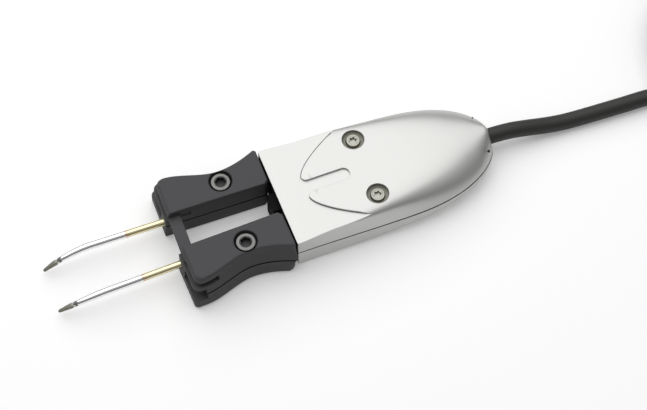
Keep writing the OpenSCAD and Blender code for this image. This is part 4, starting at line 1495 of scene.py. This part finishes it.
# The cord
@dataclass
class Cord:
    """Cord from the nose into a coil outside the picture, with a strap and a round plug on the coil."""

    coil_x: float = -180.5
    coil_y: float = -6.0
    out_r: float = 34.0
    turns: float = 4.9
    turn_points: int = 24
    climb_turns: float = 0.75
    lift: float = 0.8
    plug_x: float = -169.5
    plug_y: float = 11.0
    plug_z: float = 19.8
    boot_len: float = 13.0
    boot_r: float = 5.2
    boot_end_r: float = 3.4
    rib_deep: float = 0.45
    rib_pitch: float = 2.4
    shell_len: float = 22.0
    ring_len: float = 12.0
    ring_r: float = 7.5
    ring_ribs: int = 24
    ring_rib_deep: float = 0.35
    shell_r: float = 6.2
    nose_r: float = 5.5
    nose_len: float = 12.0
    nose_deep: float = 9.0
    strap_w: float = 8.0
    strap_t: float = 0.8
    strap_slack: float = 0.4
    strap_turn: float = -45.0
    strap_round: float = 0.3

    @property
    def in_r(self) -> float:
        """Radius of the innermost turns.

        Returns:
            Millimetres.
        """
        return self.out_r - PLAN.cord_d*(self.turns - self.climb_turns)/2

    def lead(self) -> np.ndarray:
        """Route from the nose down to the table, along it and up to the coil.

        Returns:
            Rows of x, y and z.
        """
        return np.array([
            [-77, 0, 6.2], [-80, 0, 6.2], [-86, 0.3, 5.8], [-92, 0.9, 4.8], [-98, 1.6, 3.7], [-104, 2.2, 3],
            [-110, 2.6, 2.8], [-118, 3, 2.8], [-127, 3.4, 2.8], [-135, 3.7, 2.8], [-141, 4.8, 2.9],
            [-147.5, 8.2, 3.2], [-152.5, 13.4, 3.6]], float)

    def tail(self) -> np.ndarray:
        """Route from the coil's last turn up to the plug on it.

        Returns:
            Rows of x, y and z.
        """
        return np.array([
            [-174.8, -38.3, 9.2], [-164, -34.6, 9.4], [-154.9, -27.5, 10], [-148.8, -17.5, 11],
            [-146.5, -6, 12.4], [-147.8, 0.5, 14.2], [-151.5, 6, 16.2], [-157, 9.7, 18], [-163, 11, 19.4],
            [self.plug_x + 3, self.plug_y, self.plug_z], [self.plug_x, self.plug_y, self.plug_z]], float)

    def coil(self) -> np.ndarray:
        """Winds inwards in a lower layer, climbs over itself and winds outwards in an upper one.

        Returns:
            Rows of x, y and z, from the lead's end to the tail's start.
        """
        d = PLAN.cord_d
        middle = np.array([self.coil_x, self.coil_y])
        start, end = self.lead()[-1, :2] - middle, self.tail()[0, :2] - middle
        first = math.atan2(start[1], start[0])
        whole = (math.atan2(end[1], end[0]) - first)/(2*math.pi) + math.ceil(self.turns)
        t = np.linspace(0.0, whole, round(self.turn_points*whole))
        half = self.turns/2
        r = self.in_r + d*np.maximum(np.abs(t - half) - self.climb_turns/2, 0.0)
        z = self.lift + d/2 + d*ease((t - half)/(4.0/3.0*self.climb_turns) + 0.5)
        a = first + 2*np.pi*t
        return np.column_stack([self.coil_x + r*np.cos(a), self.coil_y + r*np.sin(a), z])

    def route(self) -> np.ndarray:
        """The whole cord's middle line.

        Returns:
            Rows of x, y and z.
        """
        return smooth_path(np.vstack([self.lead(), self.coil()[1:-1], self.tail()]), per_span=3)

    def build(self) -> None:
        path = self.route()
        r = np.full(len(path), PLAN.cord_d/2)
        cord = swept("cord", path, r, r, sides=20)
        shade(cord, angle=60.0)
        dress(cord, SHEATH, "handle", "cord_rubber", "cord_lead", "cord_coil", "cord_tail")
        extras = [self.strap(), *self.plug()]

    def strap(self) -> bpy.types.Object:
        """Builds the strap around the coil.

        Returns:
            The strap.
        """
        d, t, half = PLAN.cord_d, self.strap_t, self.strap_w/2
        inner, outer = self.in_r - d/2 - self.strap_slack, self.out_r + d/2
        top = self.lift + 2*d
        band = block("coil_strap", (-half, -outer - t, 0.0), (half, t - inner, top + t))
        cut(band, [block("inside", (-2*half, -outer, self.lift), (2*half, -inner, top))])
        bevel(band, self.strap_round, segments=2)
        turn = Matrix.Rotation(math.radians(self.strap_turn), 4, "Z")
        place(band, shift(self.coil_x, self.coil_y, 0.0) @ turn)
        shade(band)
        return dress(band, STRAP, "handle", "tie_fabric", "coil_tie")

    def plug(self) -> list[bpy.types.Object]:
        """Builds the plug's boot, shell and grooved coupling ring; the pins keep their CAD form.

        Returns:
            The plug's pieces, the pins' node among them.
        """
        at = shift(self.plug_x, self.plug_y, self.plug_z) @ Matrix.Rotation(-math.pi/2, 4, "Y")
        b, e = self.boot_len, self.boot_len + self.shell_len
        z = np.linspace(0.0, b, 57)
        ribbed = (z > 1) & (z < b - 3.5)
        groove = self.rib_deep*np.clip(np.cos(2*np.pi*z/self.rib_pitch) - 0.2, 0.0, None)*ribbed
        radius = np.interp(z, [0, b - 3, b], [self.boot_end_r, self.boot_r, self.boot_r]) - groove
        boot = turned("plug_boot_piece", list(zip(radius, z)))
        s, n, c = self.shell_r, self.nose_r, e - self.ring_len - 1.6
        tip = e + self.nose_len
        shell = turned("plug_shell_piece", [
            (s - 0.6, b), (s, b + 0.5), (s, c), (s + 0.7, c + 0.1), (s + 0.9, c + 0.3), (s + 0.9, c + 1.1),
            (s + 0.7, c + 1.3), (s, c + 1.4), (s, e - 0.1), (n, e), (n, tip - 0.4), (n - 0.3, tip),
            (n - 0.7, tip), (n - 0.8, tip - 0.2), (n - 0.8, tip - self.nose_deep)])
        angle = np.linspace(0.0, 2*np.pi, 8*self.ring_ribs, endpoint=False)
        notch = self.ring_rib_deep*np.clip(np.cos(self.ring_ribs*angle), 0.0, None)**2
        outline = np.column_stack([np.cos(angle), np.sin(angle)])
        g = e - self.ring_len
        heights = [(g, 0.4, 0.0), (g + 0.4, 0.0, 0.0), (g + 1.8, 0.0, 0.0), (g + 2.2, 0.0, 1.0),
                   (e - 2.2, 0.0, 1.0), (e - 1.8, 0.0, 0.0), (e - 0.4, 0.0, 0.0), (e, 0.4, 0.0)]
        rings = np.array([at_height(outline*(self.ring_r - inset - share*notch)[:, None], height)
                          for height, inset, share in heights])
        ring = ring_solid("plug_ring_piece", rings)
        for piece, finish, body, slot, node in (
                (boot, SHEATH, "handle", "cord_rubber", "plug_boot"),
                (shell, NICKEL, "handle", "plug_metal", "plug_shell"),
                (ring, NICKEL, "coupling", "plug_metal", "plug_ring")):
            place(piece, at)
            shade(piece)
            dress(piece, finish, body, slot, node)
        return [boot, shell, ring, frame["nodes"]["plug_pins"]]


# The picture
@dataclass
class Picture:
    """Camera at the photograph's place, a white table and soft light from above."""

    place_mm: tuple[float, float, float] = (110.7, 329.9, 642.1)
    heading: float = 201.34
    elevation: float = 61.2
    focal_px: float = 2192.0
    sensor_mm: float = 36.0
    clip_m: tuple[float, float] = (0.01, 20.0)
    glow: float = 0.21
    sky_low: float = 0.04
    sky_high: float = 0.35
    sky_dim: float = 0.13
    sky_white: float = 0.5
    sky_top: float = 0.9
    dim_to: float = 0.3
    white_from: float = 0.8
    lamp_m: tuple[float, float, float] = (0.03, -0.45, 0.85)
    lamp_size_m: float = 1.5
    lamp_radiance: float = 1.52
    table_mm: float = 3000.0
    card_grey: float = 0.92

    def camera(self) -> None:
        """Makes the camera, level, looking down at the table."""
        az, el = math.radians(self.heading), math.radians(self.elevation)
        ahead = Vector((math.sin(az)*math.cos(el), math.cos(az)*math.cos(el), -math.sin(el)))
        right = Vector((math.cos(az), -math.sin(az), 0.0))
        up = right.cross(ahead)
        data = bpy.data.cameras.new("camera")
        data.sensor_width = self.sensor_mm
        data.lens = self.focal_px*data.sensor_width/PHOTO_SIZE[0]
        data.clip_start, data.clip_end = self.clip_m
        made = add_object("camera", data)
        turn = Matrix((right, up, -ahead)).transposed().to_4x4()
        made.matrix_world = Matrix.Translation(Vector(self.place_mm)*MM) @ turn
        bpy.context.scene.camera = made

    def light(self, name: str, place_m: Sequence[float], size_m: float, radiance: float) -> None:
        """Adds a square soft light that looks at the tool.

        Args:
            name: Its name.
            place_m: Its place.
            size_m: Its side.
            radiance: Brightness of its face; its power is that times its area times pi.
        """
        data = bpy.data.lights.new(name, "AREA")
        data.size = size_m
        data.energy = radiance*math.pi*size_m**2
        made = add_object(name, data)
        made.location = place_m
        made.rotation_mode = "QUATERNION"
        made.rotation_quaternion = (-Vector(place_m)).to_track_quat("-Z", "Y")

    def table(self) -> None:
        """Makes the white table: a matt card whose own faint glow keeps it white."""
        corners = self.table_mm*np.array([[-1, -1, 0], [1, -1, 0], [1, 1, 0], [-1, 1, 0]])
        floor = make_object("table", corners, [[0, 1, 2, 3]])
        made = bpy.data.materials.new("white_card")
        tree = empty_tree(made)
        grey = self.card_grey
        card = add_node(tree, "BsdfDiffuse", {"Color": (grey, grey, grey, 1.0)})
        rays = add_node(tree, "LightPath").outputs
        seen = add_node(tree, "Math", {"operation": "MAXIMUM"},
                        {"0": rays["Is Camera Ray"], "1": rays["Is Glossy Ray"]}).outputs["Value"]
        seen = add_node(tree, "Math", {"operation": "MAXIMUM"},
                        {"0": seen, "1": rays["Is Transmission Ray"]}).outputs["Value"]
        level = add_node(tree, "Math", {"operation": "MULTIPLY"}, {"0": seen})
        level.inputs[1].default_value = self.glow
        glow = add_node(tree, "Emission", {"Color": (1.0, 1.0, 1.0, 1.0)},
                        {"Strength": level.outputs["Value"]})
        both = add_node(tree, "AddShader", links={"0": card.outputs[0], "1": glow.outputs[0]})
        add_node(tree, "OutputMaterial", links={"Surface": both.outputs[0]})
        floor.data.materials.append(made)

    def world(self) -> None:
        """Makes the surroundings: dim at the horizon and bright overhead, more so in reflections."""
        made = bpy.data.worlds.new("studio")
        tree = empty_tree(made)
        way = add_node(tree, "TexCoord").outputs["Generated"]
        height = add_node(tree, "SeparateXYZ", links={"Vector": way}).outputs["Z"]
        level = smooth_range(tree, height, 0.0, self.sky_top, self.sky_low, self.sky_high)
        bright = smooth_range(tree, height, self.dim_to, self.white_from, self.sky_dim, self.sky_white)
        mirrored = add_node(tree, "LightPath").outputs["Is Glossy Ray"]
        shown = add_node(tree, "Mix", links={"Factor": mirrored})
        tree.links.new(level, shown.inputs[VALUE_A])
        tree.links.new(bright, shown.inputs[VALUE_B])
        sky = add_node(tree, "Background", {"Color": (1.0, 1.0, 1.0, 1.0)}, {"Strength": shown.outputs[0]})
        add_node(tree, "OutputWorld", links={"Surface": sky.outputs[0]})
        bpy.context.scene.world = made

    def build(self) -> None:
        """Builds the camera, the table, the surroundings and the light."""
        self.camera()
        self.table()
        self.world()
        self.light("overhead", self.lamp_m, self.lamp_size_m, self.lamp_radiance)
        bpy.context.scene.view_settings.view_transform = "Standard"


def finish_nodes() -> None:
    """Gives every CAD node the finish of its slot."""
    slots = {row["node"]: row["material_slot"] for row in frame["record"]["subparts"]}
    for name, node in frame["nodes"].items():
        node.data.materials.clear()
        node.data.materials.append(SLOT_FINISH[slots[name]].material())


def main() -> None:
    """Builds the picture and every sub-assembly."""
    logging.basicConfig(level=logging.INFO, format="%(name)s: %(message)s")
    Picture().build()
    finish_nodes()
    Cord().build()
    Case().build()
    for side in Side:
        Arm(side).build()
        Spring(side).build()
    GuideBar().build()


if __name__ == "__main__":
    main()
